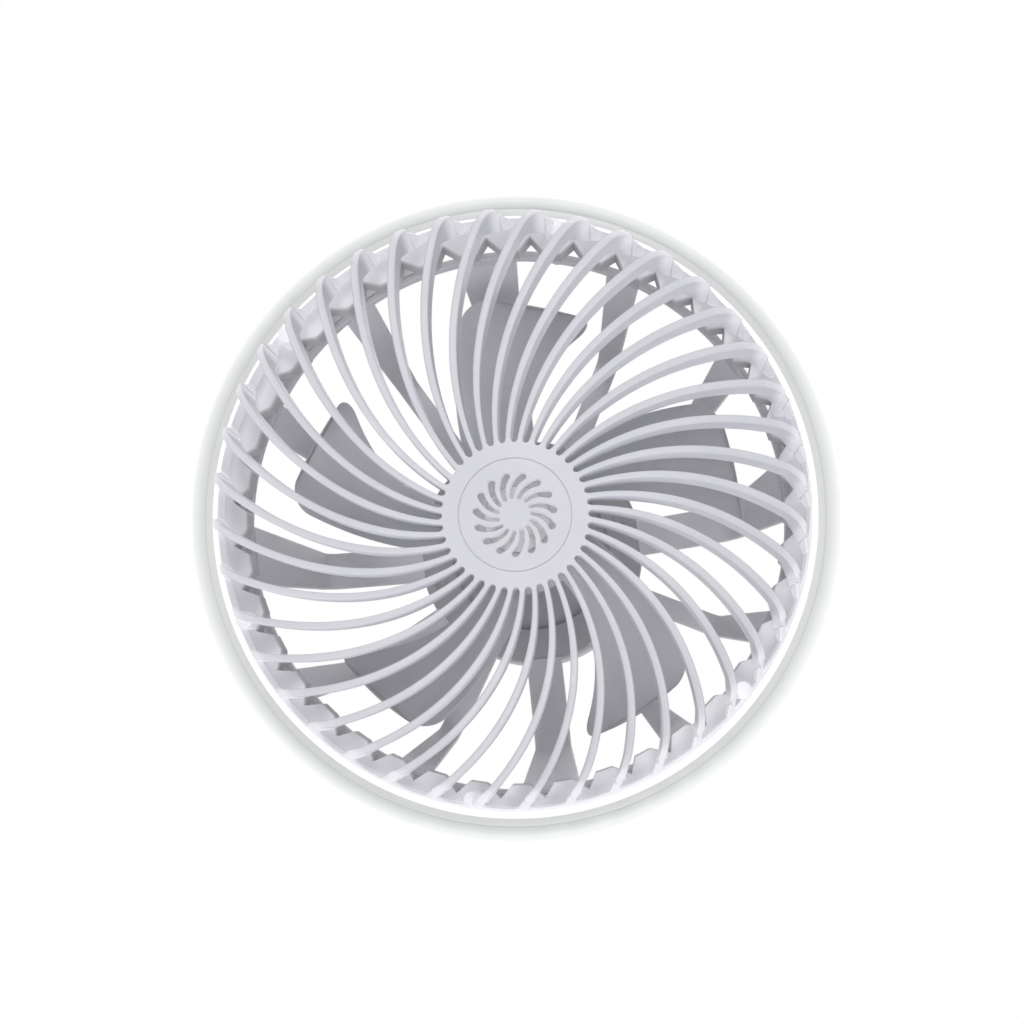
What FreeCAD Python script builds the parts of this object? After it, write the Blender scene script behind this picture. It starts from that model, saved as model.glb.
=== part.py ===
import FreeCAD
import Part
import math
import os

# Battery ceiling fan with a ring light. Millimetres and degrees.
# The ceiling is the plane Z = 0 and the fan hangs below it on the Z axis, with its grille facing down.

V = FreeCAD.Vector
UP = V(0, 0, 1)

# Ceiling plate and twist lock
plate_inset = 8.6
plate_t = 2.5
skirt_wall = 4.0
skirt_h = 4.5
ledge_t = 1.8
ledge_reach = 4.0
ledge_span = 44.0
lug_t = 1.6
lug_span = 40.0
lug_wall = 2.3
lock_count = 3
lock_gap = 0.2
slide_gap = 0.5
stop_gap = 1.0
stop_span = 3.5
ceiling_hole_r = 2.3
ceiling_hole_pitch = 60.0

# Battery pod
pod_r = 54.6
pod_h = 32.0
pod_wall = 2.2
pod_floor = 2.5
pod_edge_r = 4.0
pod_gap = 0.6
cover_t = 2.4
lip_h = 2.0
lip_wall = 2.0
fit_gap = 0.2

# Screws
screw_shank_r = 1.25
screw_head_r = 2.6
screw_head_t = 1.6
screw_gap = 0.05
hole_gap = 0.25
boss_wall = 2.2
cover_screw_angles = (90.0, 210.0, 330.0)
cover_screw_len = 12.0
guard_screw_angles = (20.0, 160.0, 200.0, 340.0)
guard_screw_inset = 5.9
guard_screw_bite = 8.0
stem_screw_count = 3
ring_screw_bite = 6.0

# Battery cells and cradle
cell_r = 9.2
cell_len = 65.0
cell_count = 3
cell_space = 0.6
cell_cap_r = 3.0
cell_cap_t = 0.8
cradle_floor = 4.5
cradle_wall = 2.3
contact_t = 0.5
contact_h = 11.0

# Control panel, board, buttons and socket
panel_w = 48.0
panel_h = 20.0
panel_proud = 1.2
panel_wall = 2.6
panel_margin = 2.0
control_drop = 16.0
board_t = 1.6
board_over = 2.0
board_h = 23.0
board_setback = 8.6
rail_t = 3.0
rail_bite = 1.0
button_r = 4.4
button_gap = 0.3
button_pitch = 26.0
button_proud = 1.4
button_flange_r = 5.8
button_flange_t = 1.0
button_pin_r = 2.0
button_play = 0.9
switch_w = 6.0
switch_h = 3.4
switch_pin_r = 1.7
switch_pin_h = 0.7
socket_w = 9.0
socket_h = 3.2
socket_skin = 0.33
socket_depth = 6.2
tongue_w = 6.7
tongue_t = 0.7
tongue_len = 4.5
light_pin_r = 1.3
light_pin_rise = 6.0
chip_sizes = ((-17.0, 7.0, 7.0, 1.2), (-6.0, 5.0, 5.0, 1.0), (13.0, 6.0, 6.0, 3.2), (20.0, 3.2, 4.0, 1.0))

# Motor stem and guard
flange_t = 3.0
flange_inset = 3.6
collar_t = 3.0
collar_inset = 0.6
collar_w = 16.0
stem_r = 13.0
stem_wall = 2.5
stem_foot_w = 6.0
stem_foot_t = 3.0
stay_count = 12
stay_w = 15.0
stay_neck_w = 10.0
broad_every = 3
broad_w = 26.0
broad_neck_w = 17.0
stay_t = 3.0
stay_phase = -7.0
stay_lean = 15.0
stay_drop = 15.0
stay_bend_r = 10.0
hoop_w = 3.0
hoop_t = 4.0
hoop_drop = 78.0
web_w = 3.2
web_t = 2.0
web_middle = -248.0
web_span = 272.0
foot_count = 6
foot_h = 6.0
foot_r = 3.0
foot_inset = 6.2
foot_set = 3.1

# Motor
base_t = 3.0
bearing_r = 5.0
bearing_w = 4.0
bearing_step = 1.2
bearing_fit = 0.02
bearing_tube_wall = 1.4
shaft_r = 2.0
shaft_fit = 0.03
shaft_clip_t = 0.6
shaft_clip_w = 1.4
stator_r = 17.6
stator_h = 10.0
stator_lift = 4.0
stator_bore_fit = 0.05
stator_hub_wall = 2.5
tooth_count = 9
tooth_w = 3.0
tooth_head_t = 1.8
tooth_head_gap = 1.6
coil_wall = 1.5
coil_gap = 0.1
air_gap = 0.5
magnet_t = 1.4
bond_gap = 0.05
can_wall = 1.5
can_h = 19.0
lead_r = 1.3
lead_bend = 6.0

# Rotor
rotor_hub_r = 28.0
rotor_hub_wall = 2.2
rotor_hub_h = 24.0
rotor_face_t = 2.5
rotor_boss_r = 7.0
rotor_boss_h = 1.5
blade_count = 5
blade_tip_gap = 16.3
blade_phase = -13.0
blade_sweep = 0.427
blade_t = 2.0
blade_root_chord = 26.0
blade_mid_chord = 37.0
blade_tip_chord = 52.0
blade_root_pitch = 42.0
blade_mid_pitch = 30.0
blade_tip_pitch = 20.0
blade_camber = 0.07
blade_corner_r = 7.0
washer_r = 13.3
washer_t = 1.0
nut_r = 4.2
nut_h = 3.5
shaft_end = 0.6
shaft_clear = 4.3

# Ring light
ring_r = 130.0
ring_t = 9.0
ring_floor = 2.0
ring_rim_w = 7.0
ring_edge_r = 4.2
ring_lip_t = 1.4
seat_w = 10.9
seat_wall = 1.6
band_w = 4.6
band_gap = 0.4
band_proud = 0.4
band_flange_w = 1.6
band_flange_t = 1.2
band_leg_w = 1.0
led_board_over = 2.5
led_board_t = 1.2
led_count = 60
led_w = 2.8
led_h = 0.8

# Front grille and hub cap
grille_base_w = 3.4
hub_proud = 1.0
hub_r = 29.8
hub_t = 3.0
hub_skirt_w = 2.8
dish_depth = 26.4
dish_mid_r = 68.0
dish_mid_depth = 9.5
wall_flare = 7.0
shoulder_w = 7.5
shoulder_crest = 3.1
shoulder_rise = 0.4
shoulder_fall = 4.9
rib_count = 40
rib_w = 2.9
rib_depth = 8.0
rib_phase = -5.7
rib_sweep_mid = 12.5
rib_sweep_end = 30.6
slot_rim = 2.8
slot_end_bulge = 0.9
grille_boss_h = 8.0
cap_r = 22.2
cap_t = 2.2
cap_proud = 0.6
cap_gap = 0.3
cap_seat_w = 3.0
spigot_wall = 1.6
spigot_h = 2.8
vent_count = 15
vent_w = 2.9
vent_in_w = 1.6
vent_out_r = 15.4
vent_mid_r = 11.4
vent_in_r = 7.0
vent_phase = -7.0
vent_twist_mid = 12.0
vent_twist_in = 21.0

# Radii worked out from the sizes above
pod_in_r = pod_r - pod_wall
plate_r = pod_r - plate_inset
skirt_in_r = plate_r - skirt_wall
ledge_in_r = skirt_in_r - ledge_reach
guard_screw_circle = pod_in_r - guard_screw_inset
flange_r = pod_r - flange_inset
collar_out_r = pod_r - collar_inset
collar_in_r = collar_out_r - collar_w
stem_in_r = stem_r - stem_wall
stem_foot_r = stem_r + stem_foot_w
cell_pitch = 2 * cell_r + cell_space
board_w = panel_w + board_over
band_out_r = ring_r - ring_rim_w
band_in_r = band_out_r - band_w
grille_base_r = band_in_r - band_gap
seat_out_r = grille_base_r - band_gap
ring_in_r = seat_out_r - seat_w
foot_circle = ring_in_r + foot_inset
hoop_in_r = foot_circle - foot_set
hoop_mid_r = hoop_in_r + hoop_w / 2
stay_bend = hoop_mid_r - stay_lean
blade_tip_r = hoop_in_r - blade_tip_gap
led_board_in_r = seat_out_r + band_gap
led_board_out_r = band_out_r + led_board_over
led_circle = band_out_r - led_w / 2
shoulder_r = grille_base_r - wall_flare
shoulder_in_r = shoulder_r - shoulder_w
shoulder_top_r = shoulder_r - shoulder_crest
slot_out_r = grille_base_r - slot_rim
bearing_tube_r = bearing_r + bearing_tube_wall
lead_x = bearing_tube_r + lead_r + stator_bore_fit + fit_gap
magnet_in_r = stator_r + air_gap
magnet_out_r = magnet_in_r + magnet_t
can_in_r = magnet_out_r + bond_gap
can_out_r = can_in_r + can_wall

# Levels worked out from the ceiling downward
skirt_bottom = -(plate_t + skirt_h)
ledge_top = skirt_bottom + ledge_t
lug_bottom = ledge_top + lock_gap
cover_top = skirt_bottom - pod_gap
pod_top = cover_top - cover_t
pod_bottom = pod_top - pod_h
floor_top = pod_bottom + pod_floor
cell_z = floor_top + cradle_floor + fit_gap + cell_r
control_z = pod_top - control_drop
flange_bottom = pod_bottom - flange_t
collar_bottom = flange_bottom - collar_t
hoop_top = flange_bottom - hoop_drop
hoop_bottom = hoop_top - hoop_t
ring_back = hoop_bottom - foot_h
ring_front = ring_back - ring_t
hub_front = ring_front - hub_proud
hub_back = hub_front + hub_t
cap_front = hub_front - cap_proud
cap_back = cap_front + cap_t

# Levels of the rotor and the motor, worked out from the hub cap upward
shaft_front = cap_back + shaft_clear
nut_front = shaft_front + shaft_end
washer_front = nut_front + nut_h
rotor_front = washer_front + washer_t
rotor_face_back = rotor_front + rotor_face_t
rotor_back = rotor_front + rotor_hub_h
can_front = rotor_face_back + rotor_boss_h
can_face_back = can_front + can_wall
can_back = can_front + can_h
tube_bottom = can_face_back + can_wall
stator_bottom = tube_bottom + stator_lift
stator_top = stator_bottom + stator_h
base_bottom = stator_top + stator_lift
base_top = base_bottom + base_t

# Control panel, from its face inward along Y
panel_face = -(pod_r + panel_proud)
panel_back = panel_face + panel_wall
board_front = panel_back + board_setback
board_back = board_front + board_t


def polar(radius, angle, z=0.0):
    """Point at a radius and an angle about the Z axis."""
    a = math.radians(angle)
    return V(radius * math.cos(a), radius * math.sin(a), z)


def disc(radius, low, high, centre=V(0, 0, 0)):
    """Upright cylinder between two levels."""
    return Part.makeCylinder(radius, high - low, V(centre.x, centre.y, low))


def tube(inner, outer, low, high):
    """Ring of rectangular section about the Z axis."""
    return disc(outer, low, high).cut(disc(inner, low, high))


def sector(inner, outer, low, high, middle, span):
    """Piece of a ring, centred on an angle."""
    section = Part.Wire(outline(at(inner, low), at(outer, low), at(outer, high), at(inner, high)))
    piece = Part.Face(section).revolve(V(0, 0, 0), UP, span)
    piece.rotate(V(0, 0, 0), UP, middle - span / 2)
    return piece


def block(low, high):
    """Box between two corners."""
    return Part.makeBox(high.x - low.x, high.y - low.y, high.z - low.z, low)


def rod(radius, start, end):
    """Cylinder between two points."""
    return Part.makeCylinder(radius, (end - start).Length, start, end - start)


def turned(edges):
    """Solid of revolution about Z from a closed outline of points and arcs in the XZ plane."""
    wire = Part.Wire(edges)
    return Part.Face(wire).revolve(V(0, 0, 0), UP, 360)


def line(a, b):
    """Straight edge between two points of an outline."""
    return Part.LineSegment(a, b).toShape()


def arc(a, middle, b):
    """Round edge through three points of an outline."""
    return Part.Arc(a, middle, b).toShape()


def at(radius, z):
    """Point of an outline in the XZ plane."""
    return V(radius, 0, z)


def outline(*points):
    """Straight edges that join points in turn and close on the first."""
    return [line(a, b) for a, b in zip(points, points[1:] + points[:1])]


def around(shape, count, step=None):
    """Copies of a shape turned about the Z axis."""
    step = 360.0 / count if step is None else step
    copies = []
    for k in range(count):
        copy = shape.copy()
        copy.rotate(V(0, 0, 0), UP, k * step)
        copies.append(copy)
    return copies


def at_angles(shape, angles):
    """Copies of a shape turned to given angles about the Z axis."""
    copies = []
    for angle in angles:
        copy = shape.copy()
        copy.rotate(V(0, 0, 0), UP, angle)
        copies.append(copy)
    return copies


def joined(first, others):
    """One solid from pieces that run into each other."""
    return first.fuse(others).removeSplitter()


def screw(head_face, tip, head_up, radius, angle):
    """Pan head screw parallel to Z, with its head on head_face and its point at tip."""
    centre = polar(radius, angle)
    shank = disc(screw_shank_r, min(head_face, tip), max(head_face, tip), centre)
    side = screw_head_t if head_up else -screw_head_t
    head = disc(screw_head_r, min(head_face, head_face + side), max(head_face, head_face + side), centre)
    return shank.fuse(head).removeSplitter()


def save(name, shape):
    """Write one piece, or a group of like pieces, under its name."""
    shape.exportStep(os.path.join("parts", name + ".step"))


def circle_through(a, b, c):
    """Centre and radius of the circle through three points of a plan."""
    d = 2 * (a.x * (b.y - c.y) + b.x * (c.y - a.y) + c.x * (a.y - b.y))
    aa = a.x ** 2 + a.y ** 2
    bb = b.x ** 2 + b.y ** 2
    cc = c.x ** 2 + c.y ** 2
    x = (aa * (b.y - c.y) + bb * (c.y - a.y) + cc * (a.y - b.y)) / d
    y = (aa * (c.x - b.x) + bb * (a.x - c.x) + cc * (b.x - a.x)) / d
    centre = V(x, y, 0)
    return centre, (a - centre).Length


def on_circle(centre, radius, from_axis, hand):
    """Point of a plan circle at a distance from the Z axis, on one hand of the line to the axis."""
    reach = centre.Length
    cosine = (reach ** 2 + radius ** 2 - from_axis ** 2) / (2 * reach * radius)
    a = hand * math.acos(cosine)
    ux = -centre.x / reach
    uy = -centre.y / reach
    x = centre.x + radius * (ux * math.cos(a) - uy * math.sin(a))
    y = centre.y + radius * (ux * math.sin(a) + uy * math.cos(a))
    return V(x, y, 0)


# Ceiling plate: a disc with a skirt, three inward ledges and a stop beside each ledge.
def ceiling_plate():
    plate = disc(plate_r, -plate_t, 0)
    skirt = tube(skirt_in_r, plate_r, skirt_bottom, -plate_t)
    ledge = sector(ledge_in_r, skirt_in_r + slide_gap, skirt_bottom, ledge_top, 0, ledge_span)
    stop_middle = -(lug_span / 2 + stop_gap + stop_span / 2)
    stop = sector(ledge_in_r, skirt_in_r + slide_gap, skirt_bottom, -plate_t, stop_middle, stop_span)
    body = joined(plate, [skirt] + around(ledge, lock_count) + around(stop, lock_count))
    for side in (-1, 1):
        hole = disc(ceiling_hole_r, -plate_t, 0, V(side * ceiling_hole_pitch / 2, 0, 0))
        body = body.cut(hole)
    return body


# Pod cover: a lid with a locating lip below and the neck and lugs of the twist lock above.
def pod_cover():
    neck_r = ledge_in_r - slide_gap
    lug_top = lug_bottom + lug_t
    lid = disc(pod_r, pod_top, cover_top)
    neck = tube(neck_r - lug_wall, neck_r, cover_top, lug_top)
    lug = sector(neck_r - lug_wall / 2, skirt_in_r - slide_gap, lug_bottom, lug_top, 0, lug_span)
    lip_r = pod_in_r - fit_gap
    lip = tube(lip_r - lip_wall, lip_r, pod_top - lip_h, pod_top)
    body = joined(lid, [neck, lip] + around(lug, lock_count))
    boss_r = screw_shank_r + boss_wall + fit_gap
    circle = cover_screw_circle()
    for angle in cover_screw_angles:
        centre = polar(circle, angle)
        body = body.cut(disc(boss_r, pod_top - lip_h, pod_top, centre))
        body = body.cut(disc(screw_shank_r + hole_gap, pod_top, cover_top, centre))
        body = body.cut(disc(screw_head_r + hole_gap, cover_top - screw_head_t, cover_top, centre))
    return body


def cover_screw_circle():
    """Radius of the circle that the cover screws stand on, with their bosses against the pod's wall."""
    return pod_in_r - screw_shank_r - boss_wall + fit_gap


# Pod shell: a cup with screw bosses, board rails and a flat control panel on the -Y side.
def pod_shell():
    edge = pod_edge_r * (1 - math.sqrt(0.5))
    cup = turned([
        line(at(0, pod_bottom), at(pod_r - pod_edge_r, pod_bottom)),
        arc(at(pod_r - pod_edge_r, pod_bottom), at(pod_r - edge, pod_bottom + edge),
            at(pod_r, pod_bottom + pod_edge_r)),
        line(at(pod_r, pod_bottom + pod_edge_r), at(pod_r, pod_top)),
        line(at(pod_r, pod_top), at(pod_in_r, pod_top)),
        line(at(pod_in_r, pod_top), at(pod_in_r, floor_top)),
        line(at(pod_in_r, floor_top), at(0, floor_top)),
        line(at(0, floor_top), at(0, pod_bottom)),
    ])
    half_w = panel_w / 2
    low = control_z - panel_h / 2
    high = control_z + panel_h / 2
    panel = block(V(-half_w, panel_face, low), V(half_w, panel_back + pod_wall, high))
    inner_w = half_w - panel_margin
    pocket = block(V(-inner_w, panel_back, low + panel_margin), V(inner_w, board_front, high - panel_margin))
    cavity = disc(pod_in_r, floor_top, pod_top)
    body = joined(cup, [panel.cut(cavity)]).cut(pocket)
    rails = []
    for side in (-1, 1):
        near = side * (board_w / 2 - rail_bite)
        far = side * (board_w / 2 - rail_bite + rail_t)
        rail = block(V(min(near, far), board_front - rail_t, floor_top),
                     V(max(near, far), board_back + rail_t, floor_top + board_h))
        groove_far = side * (board_w / 2 + fit_gap)
        groove = block(V(min(near, groove_far), board_front - fit_gap, floor_top),
                       V(max(near, groove_far), board_back + fit_gap, floor_top + board_h))
        rails.append(rail.cut(groove).common(cavity))
    boss_r = screw_shank_r + boss_wall
    circle = cover_screw_circle()
    bosses = [disc(boss_r, floor_top, pod_top, polar(circle, angle)) for angle in cover_screw_angles]
    guard_top = floor_top + guard_screw_bite
    bosses += [disc(boss_r, floor_top, guard_top, polar(guard_screw_circle, a)) for a in guard_screw_angles]
    room = disc(pod_in_r + fit_gap, floor_top, pod_top)
    body = joined(body, rails + [boss.common(room) for boss in bosses])
    for angle in cover_screw_angles:
        pilot = disc(screw_shank_r + screw_gap, pod_top - cover_screw_len, pod_top, polar(circle, angle))
        body = body.cut(pilot)
    for angle in guard_screw_angles:
        pilot = disc(screw_shank_r + screw_gap, pod_bottom, guard_top, polar(guard_screw_circle, angle))
        body = body.cut(pilot)
    lead_half = lead_r + hole_gap
    lead_way = block(V(lead_x - lead_half, -lead_bend, pod_bottom),
                     V(lead_x + lead_half, lead_half, floor_top))
    body = body.cut(lead_way)
    for side in (-1, 1):
        spot = V(side * button_pitch / 2, panel_face, control_z)
        body = body.cut(Part.makeCylinder(button_r + button_gap, panel_wall, spot, V(0, 1, 0)))
    body = body.cut(stadium(socket_w + 2 * fit_gap, socket_h + 2 * fit_gap, panel_face, panel_back))
    light_spot = V(0, panel_face, control_z + light_pin_rise)
    return body.cut(Part.makeCylinder(light_pin_r + fit_gap, panel_wall, light_spot, V(0, 1, 0)))


def stadium(width, height, near, far):
    """Bar along Y with round ends, centred on the control panel's middle line."""
    half = height / 2
    run = width / 2 - half
    middle = block(V(-run, near, control_z - half), V(run, far, control_z + half))
    ends = [Part.makeCylinder(half, far - near, V(x, near, control_z), V(0, 1, 0)) for x in (-run, run)]
    return joined(middle, ends)


def cover_screws():
    circle = cover_screw_circle()
    seat = cover_top - screw_head_t
    return Part.makeCompound([screw(seat, pod_top - cover_screw_len + fit_gap, True, circle, a)
                              for a in cover_screw_angles])


# Battery: cells lie side by side along X in a cradle on the pod's floor, joined by a strip at each end.
def cell_rows():
    return [(k - (cell_count - 1) / 2) * cell_pitch for k in range(cell_count)]


def battery_cells():
    cells = []
    for y in cell_rows():
        can = rod(cell_r, V(-cell_len / 2, y, cell_z), V(cell_len / 2 - cell_cap_t, y, cell_z))
        cap = rod(cell_cap_r, V(cell_len / 2 - cell_cap_t, y, cell_z), V(cell_len / 2, y, cell_z))
        cells.append(joined(can, [cap]))
    return Part.makeCompound(cells)


def cell_cradle():
    half_x = cell_len / 2 + contact_t + fit_gap
    half_y = (cell_count - 1) * cell_pitch / 2 + cell_r + fit_gap
    body = block(V(-half_x - cradle_wall, -half_y - cradle_wall, floor_top),
                 V(half_x + cradle_wall, half_y + cradle_wall, cell_z))
    for y in cell_rows():
        body = body.cut(rod(cell_r + fit_gap, V(-half_x, y, cell_z), V(half_x, y, cell_z)))
    strip_low = cell_z - contact_h / 2
    for side in (-1, 1):
        inner = side * (cell_len / 2 - fit_gap)
        outer = side * half_x
        body = body.cut(block(V(min(inner, outer), -half_y + cell_r / 2, strip_low - fit_gap),
                              V(max(inner, outer), half_y - cell_r / 2, cell_z)))
    channel = lead_r + hole_gap
    body = body.cut(block(V(lead_x - channel, -half_y - cradle_wall, floor_top),
                          V(lead_x + channel, lead_r + hole_gap, floor_top + 2 * channel)))
    return body


def cell_contacts():
    half_y = (cell_count - 1) * cell_pitch / 2 + cell_r / 2
    strips = []
    for side in (-1, 1):
        inner = side * cell_len / 2
        outer = side * (cell_len / 2 + contact_t)
        strips.append(block(V(min(inner, outer), -half_y + fit_gap, cell_z - contact_h / 2),
                            V(max(inner, outer), half_y - fit_gap, cell_z + contact_h / 2)))
    return Part.makeCompound(strips)


# Controls: an upright board in its rails, with two switches and the charging socket on its outer face.
def control_board():
    return block(V(-board_w / 2, board_front, floor_top), V(board_w / 2, board_back, floor_top + board_h))


def board_chips():
    """Blocks on the inner face of the board: place along X, width, height and thickness of each."""
    chips = []
    for x, width, height, thick in chip_sizes:
        chips.append(block(V(x - width / 2, board_back, control_z + fit_gap - height / 2),
                           V(x + width / 2, board_back + thick, control_z + fit_gap + height / 2)))
    return Part.makeCompound(chips)


def tact_switches():
    switches = []
    for side in (-1, 1):
        x = side * button_pitch / 2
        body = block(V(x - switch_w / 2, board_front - switch_h, control_z - switch_w / 2),
                     V(x + switch_w / 2, board_front, control_z + switch_w / 2))
        spot = V(x, board_front - switch_h - switch_pin_h, control_z)
        pin = Part.makeCylinder(switch_pin_r, switch_pin_h, spot, V(0, 1, 0))
        switches.append(joined(body, [pin]))
    return Part.makeCompound(switches)


def push_button(side):
    """Button cap with a flange behind the panel and a pin that stops short of its switch."""
    x = side * button_pitch / 2
    front = panel_face - button_proud
    flange_front = panel_back + fit_gap
    flange_back = flange_front + button_flange_t
    pin_end = board_front - switch_h - switch_pin_h - button_play
    cap = rod(button_r, V(x, front, control_z), V(x, flange_front, control_z))
    flange = rod(button_flange_r, V(x, flange_front, control_z), V(x, flange_back, control_z))
    pin = rod(button_pin_r, V(x, flange_back, control_z), V(x, pin_end, control_z))
    rounding = button_proud / 2
    rim = [e for e in cap.Edges if abs(e.BoundBox.YMax - front) < fit_gap]
    return joined(cap.makeFillet(rounding, rim), [flange, pin])


def charging_socket():
    near = panel_back + fit_gap
    shell = stadium(socket_w, socket_h, near, board_front)
    mouth = stadium(socket_w - 2 * socket_skin, socket_h - 2 * socket_skin, near, near + socket_depth)
    tongue = block(V(-tongue_w / 2, near + socket_depth - tongue_len, control_z - tongue_t / 2),
                   V(tongue_w / 2, near + socket_depth, control_z + tongue_t / 2))
    return joined(shell.cut(mouth), [tongue])


def charge_light():
    z = control_z + light_pin_rise
    pin = rod(light_pin_r, V(0, panel_face - fit_gap, z), V(0, board_front, z))
    near = panel_back + fit_gap
    return joined(pin, [rod(light_pin_r + hole_gap + fit_gap, V(0, near, z), V(0, near + light_pin_r, z))])


# Motor stem: a flange under the pod, a tube and a foot that the motor base is screwed to.
def stem_screw_circle():
    return (stem_r + stem_foot_r) / 2


def motor_stem():
    flange = tube(stem_in_r, flange_r, flange_bottom, pod_bottom)
    pipe = tube(stem_in_r, stem_r, base_top, flange_bottom)
    foot = tube(stem_in_r, stem_foot_r, base_top, base_top + stem_foot_t)
    body = joined(flange, [pipe, foot])
    for angle in guard_screw_angles:
        centre = polar(guard_screw_circle, angle)
        body = body.cut(disc(screw_shank_r + hole_gap, flange_bottom, pod_bottom, centre))
    hole = disc(screw_shank_r + hole_gap, base_top, base_top + stem_foot_t, polar(stem_screw_circle(), 0))
    for copy in around(hole, stem_screw_count):
        body = body.cut(copy)
    return body


def stem_screws():
    one = screw(base_top + stem_foot_t, base_bottom + fit_gap, True, stem_screw_circle(), 0)
    return Part.makeCompound(around(one, stem_screw_count))


def guard_screws():
    tip = floor_top + guard_screw_bite - fit_gap
    return Part.makeCompound([screw(collar_bottom, tip, False, guard_screw_circle, a)
                              for a in guard_screw_angles])


# Rear guard: a collar under the pod, twelve bent stays and a hoop that stands off the ring light on feet.
def guard_collar():
    body = tube(collar_in_r, collar_out_r, collar_bottom, flange_bottom)
    for angle in guard_screw_angles:
        centre = polar(guard_screw_circle, angle)
        body = body.cut(disc(screw_shank_r + hole_gap, collar_bottom, flange_bottom, centre))
    return body


def foot_angles():
    """Angles of the feet, each midway between two stays."""
    first = stay_phase - 180.0 / stay_count
    return [first - k * 360.0 / foot_count for k in range(foot_count)]


def rear_hoop():
    """Hoop on six feet, with a thin web round most of it that closes the gap behind the ring."""
    rim = hoop_in_r + hoop_w
    body = tube(hoop_in_r, rim, hoop_bottom, hoop_top)
    web = sector(rim - hoop_w / 2, rim + web_w, hoop_bottom, hoop_bottom + web_t, web_middle, web_span)
    feet = [disc(foot_r, ring_back, hoop_top, polar(foot_circle, a)) for a in foot_angles()]
    body = joined(body, [web] + feet)
    for angle in foot_angles():
        body = body.cut(disc(screw_shank_r + hole_gap, ring_back, hoop_top, polar(foot_circle, angle)))
    return body


def stay_profile():
    """Side view of a stay: a steep run up from the hoop, a round bend and a run in to the collar."""
    foot = at(hoop_mid_r, hoop_bottom)
    corner = at(stay_bend, flange_bottom - stay_drop)
    head = at(collar_out_r - stay_t, collar_bottom + collar_t / 2)
    down = (foot - corner).normalize()
    inward = (head - corner).normalize()
    half_turn = down.getAngle(inward) / 2
    middle = (down + inward).normalize()
    centre = corner + middle * (stay_bend_r / math.sin(half_turn))
    reach = stay_bend_r / math.tan(half_turn)
    low = corner + down * reach
    high = corner + inward * reach
    sides = []
    for grow in (-stay_t / 2, stay_t / 2):
        low_step = (low - centre) * (grow / stay_bend_r)
        high_step = (high - centre) * (grow / stay_bend_r)
        crown = centre - middle * (stay_bend_r + grow)
        sides.append((foot + low_step, low + low_step, crown, high + high_step, head + high_step))
    under, over = sides
    return Part.Wire([
        line(under[0], under[1]),
        arc(under[1], under[2], under[3]),
        line(under[3], under[4]),
        line(under[4], over[4]),
        line(over[4], over[3]),
        arc(over[3], over[2], over[1]),
        line(over[1], over[0]),
        line(over[0], under[0]),
    ])


def guard_stay(width, neck):
    """Bent flat bar that stands on the hoop and meets the collar's rim, wider from its bend to the hoop."""
    bar = Part.Face(stay_profile()).extrude(V(0, width, 0))
    bar.translate(V(0, -width / 2, 0))
    rim = hoop_in_r + hoop_w
    corners = [V(collar_in_r, -neck / 2, hoop_top), V(stay_bend, -neck / 2, hoop_top),
               V(rim, -width / 2, hoop_top), V(rim, width / 2, hoop_top),
               V(stay_bend, neck / 2, hoop_top), V(collar_in_r, neck / 2, hoop_top)]
    plan = Part.Face(Part.Wire(outline(*corners))).extrude(V(0, 0, hoop_drop))
    return bar.common(plan).cut(disc(collar_out_r, collar_bottom - collar_t, flange_bottom))


def guard_stays():
    stays = []
    for k in range(stay_count):
        broad = k % broad_every == 0
        stay = guard_stay(broad_w, broad_neck_w) if broad else guard_stay(stay_w, stay_neck_w)
        stay.rotate(V(0, 0, 0), UP, stay_phase - k * 360.0 / stay_count)
        stays.append(stay)
    return Part.makeCompound(stays)


# Motor: the base carries a bearing tube inside the stator, and the can turns round both.
def motor_base():
    plate = disc(stem_foot_r, base_bottom, base_top)
    pipe = disc(bearing_tube_r, tube_bottom, base_bottom)
    body = joined(plate, [pipe]).cut(disc(bearing_r, base_bottom - bearing_w, base_top))
    body = body.cut(disc(bearing_r - bearing_step, tube_bottom, base_top))
    body = body.cut(disc(bearing_r, tube_bottom, tube_bottom + bearing_w))
    pilot = disc(screw_shank_r + screw_gap, base_bottom, base_top, polar(stem_screw_circle(), 0))
    for copy in around(pilot, stem_screw_count):
        body = body.cut(copy)
    return body.cut(disc(lead_r + hole_gap, base_bottom, base_top, V(lead_x, 0, 0)))


def motor_bearings():
    bore = shaft_r + shaft_fit
    outer = bearing_r - bearing_fit
    return Part.makeCompound([tube(bore, outer, base_bottom - bearing_w, base_bottom),
                              tube(bore, outer, tube_bottom, tube_bottom + bearing_w)])


def stator_core():
    bore = bearing_tube_r + stator_bore_fit
    hub_out = bore + stator_hub_wall
    hub = tube(bore, hub_out, stator_bottom, stator_top)
    tooth = block(V(hub_out - stator_hub_wall / 2, -tooth_w / 2, stator_bottom),
                  V(stator_r - tooth_head_t / 2, tooth_w / 2, stator_top))
    head_span = 360.0 / tooth_count - math.degrees(tooth_head_gap / stator_r)
    head = sector(stator_r - tooth_head_t, stator_r, stator_bottom, stator_top, tooth_angle(), head_span)
    tooth.rotate(V(0, 0, 0), UP, tooth_angle())
    return joined(hub, around(tooth, tooth_count) + around(head, tooth_count))


def tooth_angle():
    """Angle of the first tooth, half a pitch away from the motor lead."""
    return 180.0 / tooth_count


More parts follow.
